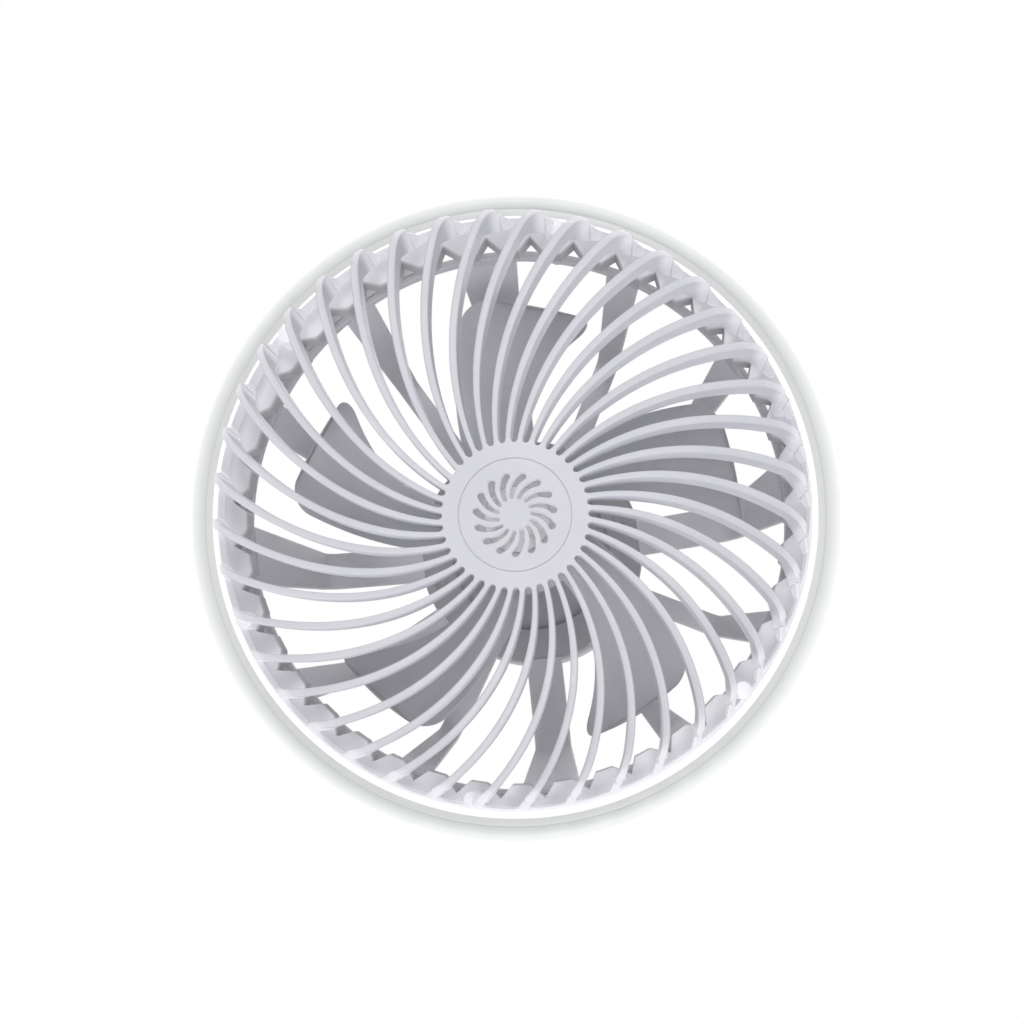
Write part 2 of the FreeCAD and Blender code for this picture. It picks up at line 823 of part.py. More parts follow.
def stator_windings():
    inner = bearing_tube_r + stator_bore_fit + stator_hub_wall + coil_gap
    hollow = tooth_w / 2 + coil_gap
    half = hollow + coil_wall
    outer = math.sqrt((stator_r - tooth_head_t - coil_gap) ** 2 - half ** 2)
    coil = block(V(inner + coil_wall, -half, stator_bottom - coil_gap - coil_wall),
                 V(outer, half, stator_top + coil_gap + coil_wall))
    coil = coil.cut(block(V(inner, -hollow, stator_bottom - coil_gap),
                          V(outer, hollow, stator_top + coil_gap)))
    coil.rotate(V(0, 0, 0), UP, tooth_angle())
    return Part.makeCompound(around(coil, tooth_count))


def motor_can():
    wall = tube(can_in_r, can_out_r, can_face_back, can_back)
    face = disc(can_out_r, can_front, can_face_back)
    return joined(wall, [face]).cut(disc(shaft_r + shaft_fit, can_front, can_face_back))


def magnet_ring():
    return tube(magnet_in_r, magnet_out_r, stator_bottom - magnet_t, can_back - magnet_t)


def motor_shaft():
    return disc(shaft_r, shaft_front, base_bottom + shaft_clip_t + 2 * fit_gap)


def shaft_clip():
    low = base_bottom + fit_gap
    return tube(shaft_r + shaft_fit, shaft_r + shaft_clip_w, low, low + shaft_clip_t)


def motor_lead():
    """Lead from the control board along the pod's floor and down inside the stem to the windings."""
    z = floor_top + lead_r + hole_gap
    start = V(lead_x, board_back, z)
    bend_start = V(lead_x, -lead_bend, z)
    bend_end = V(lead_x, 0, z - lead_bend)
    turn = lead_bend * math.sqrt(0.5)
    bend_middle = V(lead_x, -lead_bend + turn, z - lead_bend + turn)
    end = V(lead_x, 0, stator_top + fit_gap)
    path = Part.Wire([line(start, bend_start), arc(bend_start, bend_middle, bend_end), line(bend_end, end)])
    ring = Part.Wire([Part.makeCircle(lead_r, start, V(0, 1, 0))])
    return path.makePipeShell([ring], True, False)


# Rotor: a cup over the motor with five swept and twisted blades.
def blade_section(radius, chord, pitch):
    """Thin bowed section, square to the radius at one station of the blade."""
    angle = blade_phase - blade_sweep * (blade_tip_r - radius)
    middle_z = rotor_front + rotor_hub_h / 2
    outward = polar(1, angle)
    sideways = polar(1, angle + 90)
    lean = math.radians(pitch)
    along = sideways * math.cos(lean) + UP * math.sin(lean)
    bow = UP * math.cos(lean) - sideways * math.sin(lean)
    centre = outward * radius + UP * middle_z
    half = chord / 2
    sag = chord * blade_camber
    thin = blade_t / 4
    front_a = centre - along * half - bow * thin
    front_b = centre + along * half - bow * thin
    back_a = centre - along * half + bow * thin
    back_b = centre + along * half + bow * thin
    front_m = centre + bow * (sag - blade_t / 2)
    back_m = centre + bow * (sag + blade_t / 2)
    return Part.Wire([arc(front_a, front_m, front_b), line(front_b, back_b), arc(back_b, back_m, back_a),
                      line(back_a, front_a)])


def fan_blade():
    root = rotor_hub_r - rotor_hub_wall
    middle = (rotor_hub_r + blade_tip_r) / 2
    sections = [
        blade_section(root, blade_root_chord, blade_root_pitch),
        blade_section(middle, blade_mid_chord, blade_mid_pitch),
        blade_section(blade_tip_r - blade_corner_r, blade_tip_chord, blade_tip_pitch),
        blade_section(blade_tip_r + fit_gap, blade_tip_chord - 2 * blade_corner_r, blade_tip_pitch),
    ]
    blade = Part.makeLoft(sections, True, False)
    return blade.common(disc(blade_tip_r, rotor_front - rotor_hub_h, rotor_back + rotor_hub_h))


def fan_rotor():
    cup = disc(rotor_hub_r, rotor_front, rotor_back)
    hollow = disc(rotor_hub_r - rotor_hub_wall, rotor_face_back, rotor_back)
    edge = [e for e in cup.Edges if abs(e.BoundBox.ZMax - rotor_front) < fit_gap]
    cup = cup.makeFillet(rotor_face_t, edge)
    boss = disc(rotor_boss_r, rotor_face_back, can_front)
    blades = around(fan_blade(), blade_count)
    solid = joined(cup, blades).cut(hollow)
    return joined(solid, [boss]).cut(disc(shaft_r + shaft_fit, rotor_front, can_front))


def rotor_washer():
    return tube(shaft_r + shaft_fit, washer_r, washer_front, rotor_front)


def rotor_nut():
    corners = [polar(nut_r, k * 60.0, nut_front) for k in range(7)]
    prism = Part.Face(Part.makePolygon(corners)).extrude(V(0, 0, nut_h))
    return prism.cut(disc(shaft_r + shaft_fit, nut_front, washer_front))


# Ring light: a round-edged housing with a flat hollow seat for the grille, a lamp board and a diffuser band.
def ring_housing():
    tuck = ring_edge_r * (1 - math.sqrt(0.5))
    front_edge = ring_front + ring_edge_r
    back_edge = ring_back - ring_edge_r
    inner_r = ring_r - ring_lip_t
    bend = ring_edge_r - ring_lip_t
    inner_tuck = bend * (1 - math.sqrt(0.5))
    floor = ring_back - ring_floor
    lip_back = ring_front + ring_lip_t
    seat_back = ring_front + seat_wall
    body = turned([
        line(at(seat_out_r - seat_wall, ring_back), at(ring_r - ring_edge_r, ring_back)),
        arc(at(ring_r - ring_edge_r, ring_back), at(ring_r - tuck, ring_back - tuck), at(ring_r, back_edge)),
        line(at(ring_r, back_edge), at(ring_r, front_edge)),
        arc(at(ring_r, front_edge), at(ring_r - tuck, ring_front + tuck),
            at(ring_r - ring_edge_r, ring_front)),
        line(at(ring_r - ring_edge_r, ring_front), at(band_out_r + fit_gap, ring_front)),
        line(at(band_out_r + fit_gap, ring_front), at(band_out_r + fit_gap, lip_back)),
        line(at(band_out_r + fit_gap, lip_back), at(inner_r - bend, lip_back)),
        arc(at(inner_r - bend, lip_back), at(inner_r - inner_tuck, lip_back + inner_tuck),
            at(inner_r, lip_back + bend)),
        line(at(inner_r, lip_back + bend), at(inner_r, floor)),
        line(at(inner_r, floor), at(seat_out_r, floor)),
        line(at(seat_out_r, floor), at(seat_out_r, ring_front)),
        line(at(seat_out_r, ring_front), at(ring_in_r, ring_front)),
        line(at(ring_in_r, ring_front), at(ring_in_r, ring_back)),
        line(at(ring_in_r, ring_back), at(ring_in_r + seat_wall, ring_back)),
        line(at(ring_in_r + seat_wall, ring_back), at(ring_in_r + seat_wall, seat_back)),
        line(at(ring_in_r + seat_wall, seat_back), at(seat_out_r - seat_wall, seat_back)),
        line(at(seat_out_r - seat_wall, seat_back), at(seat_out_r - seat_wall, ring_back)),
    ])
    posts = [disc(foot_r, ring_front, ring_back, polar(foot_circle, a)) for a in foot_angles()]
    body = joined(body, posts)
    for angle in foot_angles():
        body = body.cut(disc(screw_shank_r + hole_gap, ring_front, ring_back, polar(foot_circle, angle)))
    return body


def ring_screws():
    tip = ring_front - ring_screw_bite + fit_gap
    return Part.makeCompound([screw(hoop_top, tip, True, foot_circle, a) for a in foot_angles()])


def led_board():
    floor = ring_back - ring_floor
    return tube(led_board_in_r, led_board_out_r, floor - led_board_t, floor)


def led_chips():
    top = ring_back - ring_floor - led_board_t
    chip = block(V(led_circle - led_w / 2, -led_w / 2, top - led_h),
                 V(led_circle + led_w / 2, led_w / 2, top))
    return Part.makeCompound(around(chip, led_count))


def light_diffuser():
    face = ring_front - band_proud
    board_face = ring_back - ring_floor - led_board_t
    flange_face = ring_front + ring_lip_t + fit_gap
    back = flange_face + band_flange_t
    flange_r_out = band_out_r + band_flange_w
    leg_r = band_in_r + band_leg_w
    return turned(outline(at(band_in_r, face), at(band_out_r, face), at(band_out_r, flange_face),
                          at(flange_r_out, flange_face), at(flange_r_out, back), at(leg_r, back),
                          at(leg_r, board_face), at(band_in_r, board_face)))


# Front grille: a dished shell with a rounded shoulder, cut by forty swept slots that run over the shoulder.
def rib_line():
    """Arc that the first rib follows in plan: centre, radius, side facing the next rib, and hand."""
    first = polar(hub_r, rib_phase)
    middle = polar(dish_mid_r, rib_phase + rib_sweep_mid)
    last = polar(slot_out_r, rib_phase + rib_sweep_end)
    centre, radius = circle_through(first, middle, last)
    facing = math.copysign(1, centre.cross(middle).z)
    hand = math.copysign(1, (-centre).cross(middle - centre).z)
    return centre, radius, facing, hand


def grille_slot():
    """Prism between two ribs, from the hub disc to the base hoop."""
    centre, radius, facing, hand = rib_line()
    turn = FreeCAD.Rotation(UP, 360.0 / rib_count)
    inner = hub_r + rib_w / 2
    stations = (inner, (inner + slot_out_r) / 2, slot_out_r)
    half = facing * rib_w / 2
    first = [on_circle(centre, radius + half, r, hand) for r in stations]
    second = [turn.multVec(on_circle(centre, radius - half, r, hand)) for r in stations]
    gap = (first[0] - second[0]).Length
    inner_mid = (first[0] + second[0]) * 0.5
    inner_mid = inner_mid * ((inner_mid.Length - gap / 2) / inner_mid.Length)
    outer_mid = (first[2] + second[2]) * 0.5
    outer_mid = outer_mid * ((slot_out_r + slot_end_bulge) / outer_mid.Length)
    wire = Part.Wire([
        arc(first[0], first[1], first[2]),
        arc(first[2], outer_mid, second[2]),
        arc(second[2], second[1], second[0]),
        arc(second[0], inner_mid, first[0]),
    ])
    face = Part.Face(wire)
    low = hub_front - 2 * dish_depth
    face.translate(V(0, 0, low))
    return face.extrude(V(0, 0, hub_front + 2 * rib_depth - low))


def front_grille():
    peak = hub_front - dish_depth
    hub_inner = hub_r - hub_skirt_w
    rib_back = hub_front + rib_depth
    base_in_r = grille_base_r - grille_base_w
    shell = turned([
        line(at(hub_inner, hub_front), at(hub_r, hub_front)),
        arc(at(hub_r, hub_front), at(dish_mid_r, hub_front - dish_mid_depth), at(shoulder_in_r, peak)),
        arc(at(shoulder_in_r, peak), at(shoulder_top_r, peak - shoulder_rise),
            at(shoulder_r, peak + shoulder_fall)),
        line(at(shoulder_r, peak + shoulder_fall), at(grille_base_r, ring_front)),
        line(at(grille_base_r, ring_front), at(base_in_r, ring_front)),
        line(at(base_in_r, ring_front), at(shoulder_in_r, peak + rib_depth)),
        arc(at(shoulder_in_r, peak + rib_depth), at(dish_mid_r, rib_back - dish_mid_depth),
            at(hub_r, rib_back)),
        line(at(hub_r, rib_back), at(hub_inner, rib_back)),
        line(at(hub_inner, rib_back), at(hub_inner, hub_front)),
    ])
    shell = shell.cut(Part.makeCompound(around(grille_slot(), rib_count)))
    recess_r = cap_r + cap_gap
    plate = tube(recess_r, hub_r - hub_skirt_w / 2, hub_front, hub_back)
    seat = tube(recess_r - cap_seat_w, recess_r + cap_gap, cap_back, hub_back)
    boss = disc(screw_shank_r + boss_wall, ring_front - grille_boss_h, ring_front, polar(foot_circle, 0))
    bosses = at_angles(boss, foot_angles())
    body = joined(shell, [plate, seat] + bosses)
    for angle in foot_angles():
        centre = polar(foot_circle, angle)
        body = body.cut(disc(screw_shank_r + screw_gap, ring_front - ring_screw_bite, ring_front, centre))
    return body


def vent_slot():
    """Round-ended swept slot of the hub cap, wider toward the rim."""
    outer = polar(vent_out_r, vent_phase)
    middle = polar(vent_mid_r, vent_phase - vent_twist_mid)
    inner = polar(vent_in_r, vent_phase - vent_twist_in)
    centre, radius = circle_through(outer, middle, inner)
    half_out = vent_w / 2
    half_in = vent_in_w / 2
    stations = ((outer, half_out), (middle, (half_out + half_in) / 2), (inner, half_in))
    points = []
    for side in (-1, 1):
        points.append([centre + (p - centre) * ((radius + side * half) / radius) for p, half in stations])
    tip_out = tip_point(centre, outer, middle, half_out)
    tip_in = tip_point(centre, inner, middle, half_in)
    wire = Part.Wire([
        arc(points[0][0], points[0][1], points[0][2]),
        arc(points[0][2], tip_in, points[1][2]),
        arc(points[1][2], points[1][1], points[1][0]),
        arc(points[1][0], tip_out, points[0][0]),
    ])
    face = Part.Face(wire)
    face.translate(V(0, 0, cap_front))
    return face.extrude(V(0, 0, cap_t))


def tip_point(centre, end, middle, half):
    """Outermost point of a slot's round end, past the end of its centre line."""
    spoke = end - centre
    tangent = V(-spoke.y, spoke.x, 0).normalize()
    if tangent.dot(end - middle) < 0:
        tangent = -tangent
    return end + tangent * half


def hub_cap():
    cap = disc(cap_r, cap_front, cap_back)
    rim = [e for e in cap.Edges if abs(e.BoundBox.ZMax - cap_front) < fit_gap]
    cap = cap.makeFillet(cap_proud, rim)
    spigot_r = cap_r + cap_gap - cap_seat_w - fit_gap
    spigot = tube(spigot_r - spigot_wall, spigot_r, cap_back, cap_back + spigot_h)
    return joined(cap, [spigot]).cut(Part.makeCompound(around(vent_slot(), vent_count)))


def main():
    os.makedirs("parts", exist_ok=True)
    save("ceiling_plate", ceiling_plate())
    save("pod_cover", pod_cover())
    save("pod_shell", pod_shell())
    save("cover_screws", cover_screws())
    save("battery_cells", battery_cells())
    save("cell_cradle", cell_cradle())
    save("cell_contacts", cell_contacts())
    save("control_board", control_board())
    save("board_chips", board_chips())
    save("tact_switches", tact_switches())
    save("speed_button", push_button(-1))
    save("light_button", push_button(1))
    save("charging_socket", charging_socket())
    save("charge_light", charge_light())
    save("motor_stem", motor_stem())
    save("stem_screws", stem_screws())
    save("guard_screws", guard_screws())
    save("guard_collar", guard_collar())
    save("guard_stays", guard_stays())
    save("rear_hoop", rear_hoop())
    save("motor_base", motor_base())
    save("motor_bearings", motor_bearings())
    save("stator_core", stator_core())
    save("stator_windings", stator_windings())
    save("motor_can", motor_can())
    save("magnet_ring", magnet_ring())
    save("motor_shaft", motor_shaft())
    save("shaft_clip", shaft_clip())
    save("motor_lead", motor_lead())
    save("fan_rotor", fan_rotor())
    save("rotor_washer", rotor_washer())
    save("rotor_nut", rotor_nut())
    save("ring_housing", ring_housing())
    save("ring_screws", ring_screws())
    save("led_board", led_board())
    save("led_chips", led_chips())
    save("light_diffuser", light_diffuser())
    save("front_grille", front_grille())
    save("hub_cap", hub_cap())


main()
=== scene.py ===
import logging
import math
from dataclasses import dataclass
from enum import Enum
from typing import Any, Sequence

import bmesh
import bpy
import numpy as np
from bpy.types import Camera, Light, Material, Node, NodeSocket, Object, World
from mathutils import Matrix, Quaternion, Vector


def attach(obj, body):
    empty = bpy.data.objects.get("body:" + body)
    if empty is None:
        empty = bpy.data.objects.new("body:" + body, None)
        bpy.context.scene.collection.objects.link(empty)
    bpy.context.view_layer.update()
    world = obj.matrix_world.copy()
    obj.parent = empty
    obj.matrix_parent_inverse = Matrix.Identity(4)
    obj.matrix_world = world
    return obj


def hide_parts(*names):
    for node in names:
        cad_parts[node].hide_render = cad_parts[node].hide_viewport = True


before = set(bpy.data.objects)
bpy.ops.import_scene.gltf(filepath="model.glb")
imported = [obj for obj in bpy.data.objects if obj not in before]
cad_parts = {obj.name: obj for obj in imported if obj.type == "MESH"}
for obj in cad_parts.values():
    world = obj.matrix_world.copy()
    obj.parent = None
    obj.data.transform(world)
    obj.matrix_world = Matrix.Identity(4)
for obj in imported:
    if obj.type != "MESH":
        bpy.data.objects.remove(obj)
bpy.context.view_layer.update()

MM = 0.001
MERGE = 1e-6
PEG_STEPS = 28
LOG = logging.getLogger("ceiling_fan")

Array = np.ndarray
Pair = tuple[float, float]
Triple = tuple[float, float, float]
Colour = Triple
Tones = tuple[Colour, Colour]
Pairs = Sequence[Pair]

BLACK: Colour = (0.0, 0.0, 0.0)
WHITE: Colour = (1.0, 1.0, 1.0)
SATIN: Tones = ((0.763, 0.761, 0.815), (0.713, 0.711, 0.77))


class Body(Enum):
    """Rigid groups that pieces ride on."""

    FAN = "fan_body"
    ROTOR = "rotor"


# Shader graphs


class Wire:
    """A shader socket that takes part in Python expressions."""

    def __init__(self, graph: "Graph", socket: NodeSocket) -> None:
        """Keeps the socket and the graph that it belongs to."""
        self.graph = graph
        self.socket = socket

    def __add__(self, other: Any) -> "Wire":
        """Sum of two values."""
        return self.graph.math("ADD", self, other)

    def __radd__(self, other: Any) -> "Wire":
        """Sum with the number on the left."""
        return self.graph.math("ADD", other, self)

    def __sub__(self, other: Any) -> "Wire":
        """Difference of two values."""
        return self.graph.math("SUBTRACT", self, other)

    def __rsub__(self, other: Any) -> "Wire":
        """Difference from the number on the left."""
        return self.graph.math("SUBTRACT", other, self)

    def __mul__(self, other: Any) -> "Wire":
        """Product of two values."""
        return self.graph.math("MULTIPLY", self, other)

    def __rmul__(self, other: Any) -> "Wire":
        """Product with the number on the left."""
        return self.graph.math("MULTIPLY", other, self)

    def __gt__(self, other: Any) -> "Wire":
        """One where the value is the larger, else nought."""
        return self.graph.math("GREATER_THAN", self, other)


class Graph:
    """Node tree of one material or of the world."""

    def __init__(self, owner: Material | World) -> None:
        """Empties the node tree of its owner.

        Args:
            owner: Material or world that the nodes belong to.
        """
        self.owner = owner
        owner.use_nodes = True
        self.tree = owner.node_tree
        self.tree.nodes.clear()

    def make(self, kind: str, settings: dict[str, Any], sockets: dict[Any, Any]) -> Node:
        """Makes any node.

        Args:
            kind: Type name of the node.
            settings: Its properties, set first.
            sockets: Values or wires for its inputs, by name or number.

        Returns:
            The node.
        """
        made = self.tree.nodes.new(kind)
        for name, value in settings.items():
            setattr(made, name, value)
        for name, value in sockets.items():
            socket = made.inputs[name]
            if isinstance(value, Wire):
                self.tree.links.new(value.socket, socket)
            else:
                socket.default_value = value
        return made

    def node(self, kind: str, settings: dict[str, Any], sockets: dict[Any, Any], out: int | str = 0) -> Wire:
        """Makes any node and hands back the wire of one output."""
        return Wire(self, self.make(kind, settings, sockets).outputs[out])

    def math(self, operation: str, first: Any, second: Any = 0.0) -> Wire:
        """Math node of two values."""
        return self.node("ShaderNodeMath", {"operation": operation}, {0: first, 1: second})

    def place(self) -> Wire:
        """Object coordinates."""
        return self.node("ShaderNodeTexCoord", {}, {}, "Object")

    def noise(self, place: Wire, scale: float, detail: float = 2.0, rough: float = 0.5) -> Wire:
        """Cloudy value about one half, with that many lumps to the metre."""
        sockets = {"Vector": place, "Scale": scale, "Detail": detail, "Roughness": rough}
        return self.node("ShaderNodeTexNoise", {}, sockets)

    def spark(self, place: Wire) -> Wire:
        """Fine grain of a moulded skin."""
        return self.noise(place, 1500.0, 2.0, 0.6)

    def axes(self, place: Wire) -> tuple[Wire, Wire, Wire]:
        """Three coordinates of a place."""
        outputs = self.make("ShaderNodeSeparateXYZ", {}, {0: place}).outputs
        return Wire(self, outputs[0]), Wire(self, outputs[1]), Wire(self, outputs[2])

    def radius(self, place: Wire) -> Wire:
        """Distance of a place from the Z axis."""
        x, y, _ = self.axes(place)
        return self.math("SQRT", x * x + y * y)

    def span(self, value: Wire, low: float, high: float) -> Wire:
        """Smooth step from nought at low to one at high."""
        settings = {"interpolation_type": "SMOOTHSTEP"}
        return self.node("ShaderNodeMapRange", settings, {0: value, 1: low, 2: high, 3: 0.0, 4: 1.0})

    def mix(self, share: Any, first: Any, second: Any) -> Wire:
        """Colour between two others."""
        ends = [(*c, 1.0) if isinstance(c, tuple) else c for c in (first, second)]
        return self.node("ShaderNodeMix", {"data_type": "RGBA"}, {0: share, 6: ends[0], 7: ends[1]}, 2)

    def edge(self, soft: float = 0.51, hard: float = 0.60) -> Wire:
        """Mask of the outer edges, from how sharply the surface bends outward."""
        return self.span(self.node("ShaderNodeNewGeometry", {}, {}, "Pointiness"), soft, hard)

    def bump(self, height: Wire, depth: float, strength: float = 0.6) -> Wire:
        """Normal of a height map whose relief is that deep in metres."""
        return self.node("ShaderNodeBump", {}, {"Strength": strength, "Distance": depth, "Height": height})

    def surface(self, sockets: dict[str, Any]) -> Material:
        """Ends the graph in a surface shader.

        Args:
            sockets: Values or wires for the shader's inputs.

        Returns:
            The finished material.
        """
        shader = self.node("ShaderNodeBsdfPrincipled", {}, sockets)
        self.make("ShaderNodeOutputMaterial", {}, {"Surface": shader})
        return self.owner


# Finishes


@dataclass(frozen=True)
class Finish:
    """Recipe of one material."""

    name: str

    def start(self) -> tuple[Graph, Wire]:
        """Empty node tree of a new material, and its object coordinates."""
        g = Graph(bpy.data.materials.new(self.name))
        return g, g.place()

    def make(self) -> Material:
        """Makes the material."""
        raise NotImplementedError


@dataclass(frozen=True)
class Plastic(Finish):
    """Moulded plastic with a fine spark texture, flow clouds and rubbed edges.

    Between the radii near and far from the Z axis it takes a painted shade, darkening by its factor, and a painted
    glow of its strength, which stands in for light from the ring.
    """

    colour: Colour
    shade: Colour
    rough: float = 0.42
    relief: float = 0.00004
    coat: float = 0.0
    near: float = 0.0
    far: float = 1.0
    # factor of the painted shade, then strength of the painted glow
    painted_shade_factor: float = 1.0
    painted_glow: float = 0.0
    broad: float = 24.0
    fine: float = 130.0
    coat_rough: float = 0.25
    index: float = 1.48

    def way(self, g: Graph, place: Wire) -> Wire:
        """Distance along which the tone shifts: outward from the Z axis."""
        return g.radius(place)

    def shift(self, g: Graph, place: Wire) -> Wire:
        """Smooth step of that distance, from nought at near to one at far."""
        return g.span(self.way(g, place), self.near, self.far)

    def make(self) -> Material:
        """Mixes two tones by broad and fine clouds, rubs the edges light, roughens the skin, and adds painted shade
        and painted glow along the shift.

        Returns:
            The finished material.
        """
        g, place = self.start()
        cloud = g.noise(place, self.broad, 3.0)
        flow = g.noise(place, self.fine, 3.0, 0.6)
        spark = g.spark(place)
        tone = g.span(cloud * 0.65 + flow * 0.35, 0.32, 0.70)
        base = g.mix(tone, self.colour, self.shade)
        rubbed = tuple(min(1.0, c * 1.06 + 0.01) for c in self.colour)
        base = g.mix(g.edge() * 0.6, base, rubbed)
        rough = self.rough + (flow - 0.5) * 0.16 + (spark - 0.5) * 0.12
        normal = g.bump(spark * 0.7 + flow * 0.5, self.relief)
        sockets = {"Roughness": rough, "Normal": normal, "Coat Weight": self.coat,
                   "Coat Roughness": self.coat_rough, "IOR": self.index}
        # painted shade: the base darkens towards black along the shift
        if self.painted_shade_factor < 1.0:
            base = g.mix(self.shift(g, place) * (1.0 - self.painted_shade_factor), base, BLACK)
        # painted glow: emission along the shift, though the part is no lamp
        if self.painted_glow > 0.0:
            glow = g.mix(self.shift(g, place), BLACK, (self.painted_glow,) * 3)
            sockets |= {"Emission Color": glow, "Emission Strength": 1.0}
        return g.surface(sockets | {"Base Color": base})


@dataclass(frozen=True)
class BackGlowPlastic(Plastic):
    """Plastic whose tone shifts along its height, for a painted glow on its back that stands in for light from its
    front.
    """

    def way(self, g: Graph, place: Wire) -> Wire:
        """Distance along which the tone shifts: the height."""
        return g.axes(place)[2]


@dataclass(frozen=True)
class Metal(Finish):
    """Bare metal with fine turning marks round the Z axis."""

    colour: Colour
    rough: float
    marks: float = 5200.0
    relief: float = 0.000012

    def make(self) -> Material:
        """Varies roughness by rings of the radius and the height, and the tone by soft stains.

        Returns:
            The finished material.
        """
        g, place = self.start()
        ring = g.node("ShaderNodeCombineXYZ", {}, {0: g.radius(place), 1: g.axes(place)[2], 2: 0.0})
        lines = g.noise(ring, self.marks, 1.0)
        stain = g.noise(place, 160.0, 4.0, 0.6)
        dark = tuple(c * 0.72 for c in self.colour)
        base = g.mix(g.span(stain, 0.42, 0.74), self.colour, dark)
        rough = self.rough + (lines - 0.5) * 0.22 + (stain - 0.5) * 0.10
        return g.surface({"Base Color": base, "Metallic": 1.0, "Roughness": rough,
                          "Normal": g.bump(lines, self.relief, 0.5)})


@dataclass(frozen=True)
class LampBand(Finish):
    """Milky diffuser lit from behind by a ring of lamps, dimmer at its outer edge."""

    fade: float
    edge: float
    lamps: int = 60
    dimmest: Colour = (0.94, 0.95, 0.97)
    edge_glow: Colour = (0.25, 0.255, 0.255)
    tones: Tones = ((0.38, 0.38, 0.38), (0.42, 0.42, 0.42))

    def make(self) -> Material:
        """Brightens the glow a little over each lamp, round the Z axis, and dims it between two radii.

        Returns:
            The finished material.
        """
        g, place = self.start()
        x, y, _ = g.axes(place)
        turn = g.math("ARCTAN2", y, x)
        spots = g.math("COSINE", turn * float(self.lamps)) * 0.5 + 0.5
        milk = g.noise(place, 300.0, 3.0)
        glow = g.mix(spots * 0.6 + milk * 0.4, self.dimmest, WHITE)
        glow = g.mix(g.span(g.radius(place), self.fade, self.edge), glow, self.edge_glow)
        base = g.mix(milk, *self.tones)
        return g.surface({"Base Color": base, "Roughness": 0.35 + (milk - 0.5) * 0.15, "Emission Color": glow,
                          "Emission Strength": 1.25, "Normal": g.bump(milk, 0.00003, 0.3)})


@dataclass(frozen=True)
class GlowRim(Finish):
    """White ring housing with painted light: a plain seat with a faint painted glow and painted shade behind its
    face, painted shade beside the band, and a painted glow that rises to the outer edge.
    """

    seat: float
    inner: float
    outer: float
    face: float = -0.1417
    depth: float = -0.1385
    seat_tones: Tones = ((0.80, 0.80, 0.82), (0.76, 0.76, 0.78))
    # painted shade behind the seat's face, faint painted glow on the seat, painted shade beside the band and painted
    # glow to the outer edge
    seat_painted_shade: Colour = (0.56, 0.56, 0.58)
    seat_painted_glow: Colour = (0.05, 0.05, 0.052)
    rim_painted_shade: Tones = ((0.30, 0.305, 0.305), (0.34, 0.345, 0.345))
    rim_painted_glow: Tones = ((0.33, 0.34, 0.34), (0.69, 0.70, 0.70))

    def make(self) -> Material:
        """Sets tone and painted glow by the distance from the Z axis: the seat, with painted shade behind its face,
        then a rise of painted glow.

        Returns:
            The finished material.
        """
        g, place = self.start()
        radius = g.radius(place)
        cloud = g.noise(place, 40.0, 3.0)
        spark = g.spark(place)
        rise = g.span(radius + (cloud - 0.5) * 0.0006, self.inner, self.outer)
        past = radius > self.seat
        behind = g.span(g.axes(place)[2], self.face, self.depth)
        # painted shade: the seat's colour darkens behind its face
        plain = g.mix(behind, g.mix(cloud, *self.seat_tones), self.seat_painted_shade)
        # painted glow: faint on the seat's face, none behind it
        dull = g.mix(behind, self.seat_painted_glow, BLACK)
        # painted glow that rises towards the outer edge of the housing
        glow = g.mix(past, dull, g.mix(rise, *self.rim_painted_glow))
        # painted shade: the housing beside the band is coloured dark grey
        base = g.mix(past, plain, g.mix(cloud, *self.rim_painted_shade))
        rough = 0.45 + (spark - 0.5) * 0.14 + (cloud - 0.5) * 0.1
        return g.surface({"Base Color": base, "Roughness": rough, "Emission Color": glow, "Emission Strength": 1.0,
                          "Normal": g.bump(spark, 0.00003)})


@dataclass(frozen=True)
class CircuitBoard(Finish):
    """Lacquered board with tracks that show as a faint relief."""

    colour: Colour
    track: Colour
    pitch: float = 420.0

    def make(self) -> Material:
        """Marks tracks where a cell pattern changes, under a lacquer of uneven gloss.

        Returns:
            The finished material.
        """
        g, place = self.start()
        cell = g.node("ShaderNodeTexVoronoi", {"distance": "CHEBYCHEV"}, {"Vector": place, "Scale": self.pitch})
        lines = g.span(cell, 0.30, 0.46)
        cloud = g.noise(place, 220.0, 3.0)
        base = g.mix(lines * 0.7 + cloud * 0.3, self.colour, self.track)
        return g.surface({"Base Color": base, "Roughness": 0.34 + (cloud - 0.5) * 0.2,
                          "Normal": g.bump(lines, 0.00005)})


@dataclass(frozen=True)
class Sleeve(Finish):
    """Soft sheath or wrapped film with fine lengthwise creases."""

    colour: Colour
    shade: Colour
    rough: float = 0.5
    crease: float = 900.0

    def make(self) -> Material:
        """Mixes two tones by stretched clouds that also raise the surface.

        Returns:
            The finished material.
        """
        g, place = self.start()
        stretched = g.node("ShaderNodeMapping", {}, {"Vector": place, "Scale": (0.15, 1.0, 1.0)})
        crease = g.noise(stretched, self.crease, 2.0)
        cloud = g.noise(place, 90.0, 3.0)
        base = g.mix(g.span(crease * 0.5 + cloud * 0.5, 0.35, 0.65), self.colour, self.shade)
        return g.surface({"Base Color": base, "Roughness": self.rough + (cloud - 0.5) * 0.2,
                          "Normal": g.bump(crease, 0.00004)})


# Surfaces


def unit(rows: Array) -> Array:
    """Rows scaled to length one."""
    return rows / np.linalg.norm(rows, axis=-1, keepdims=True)


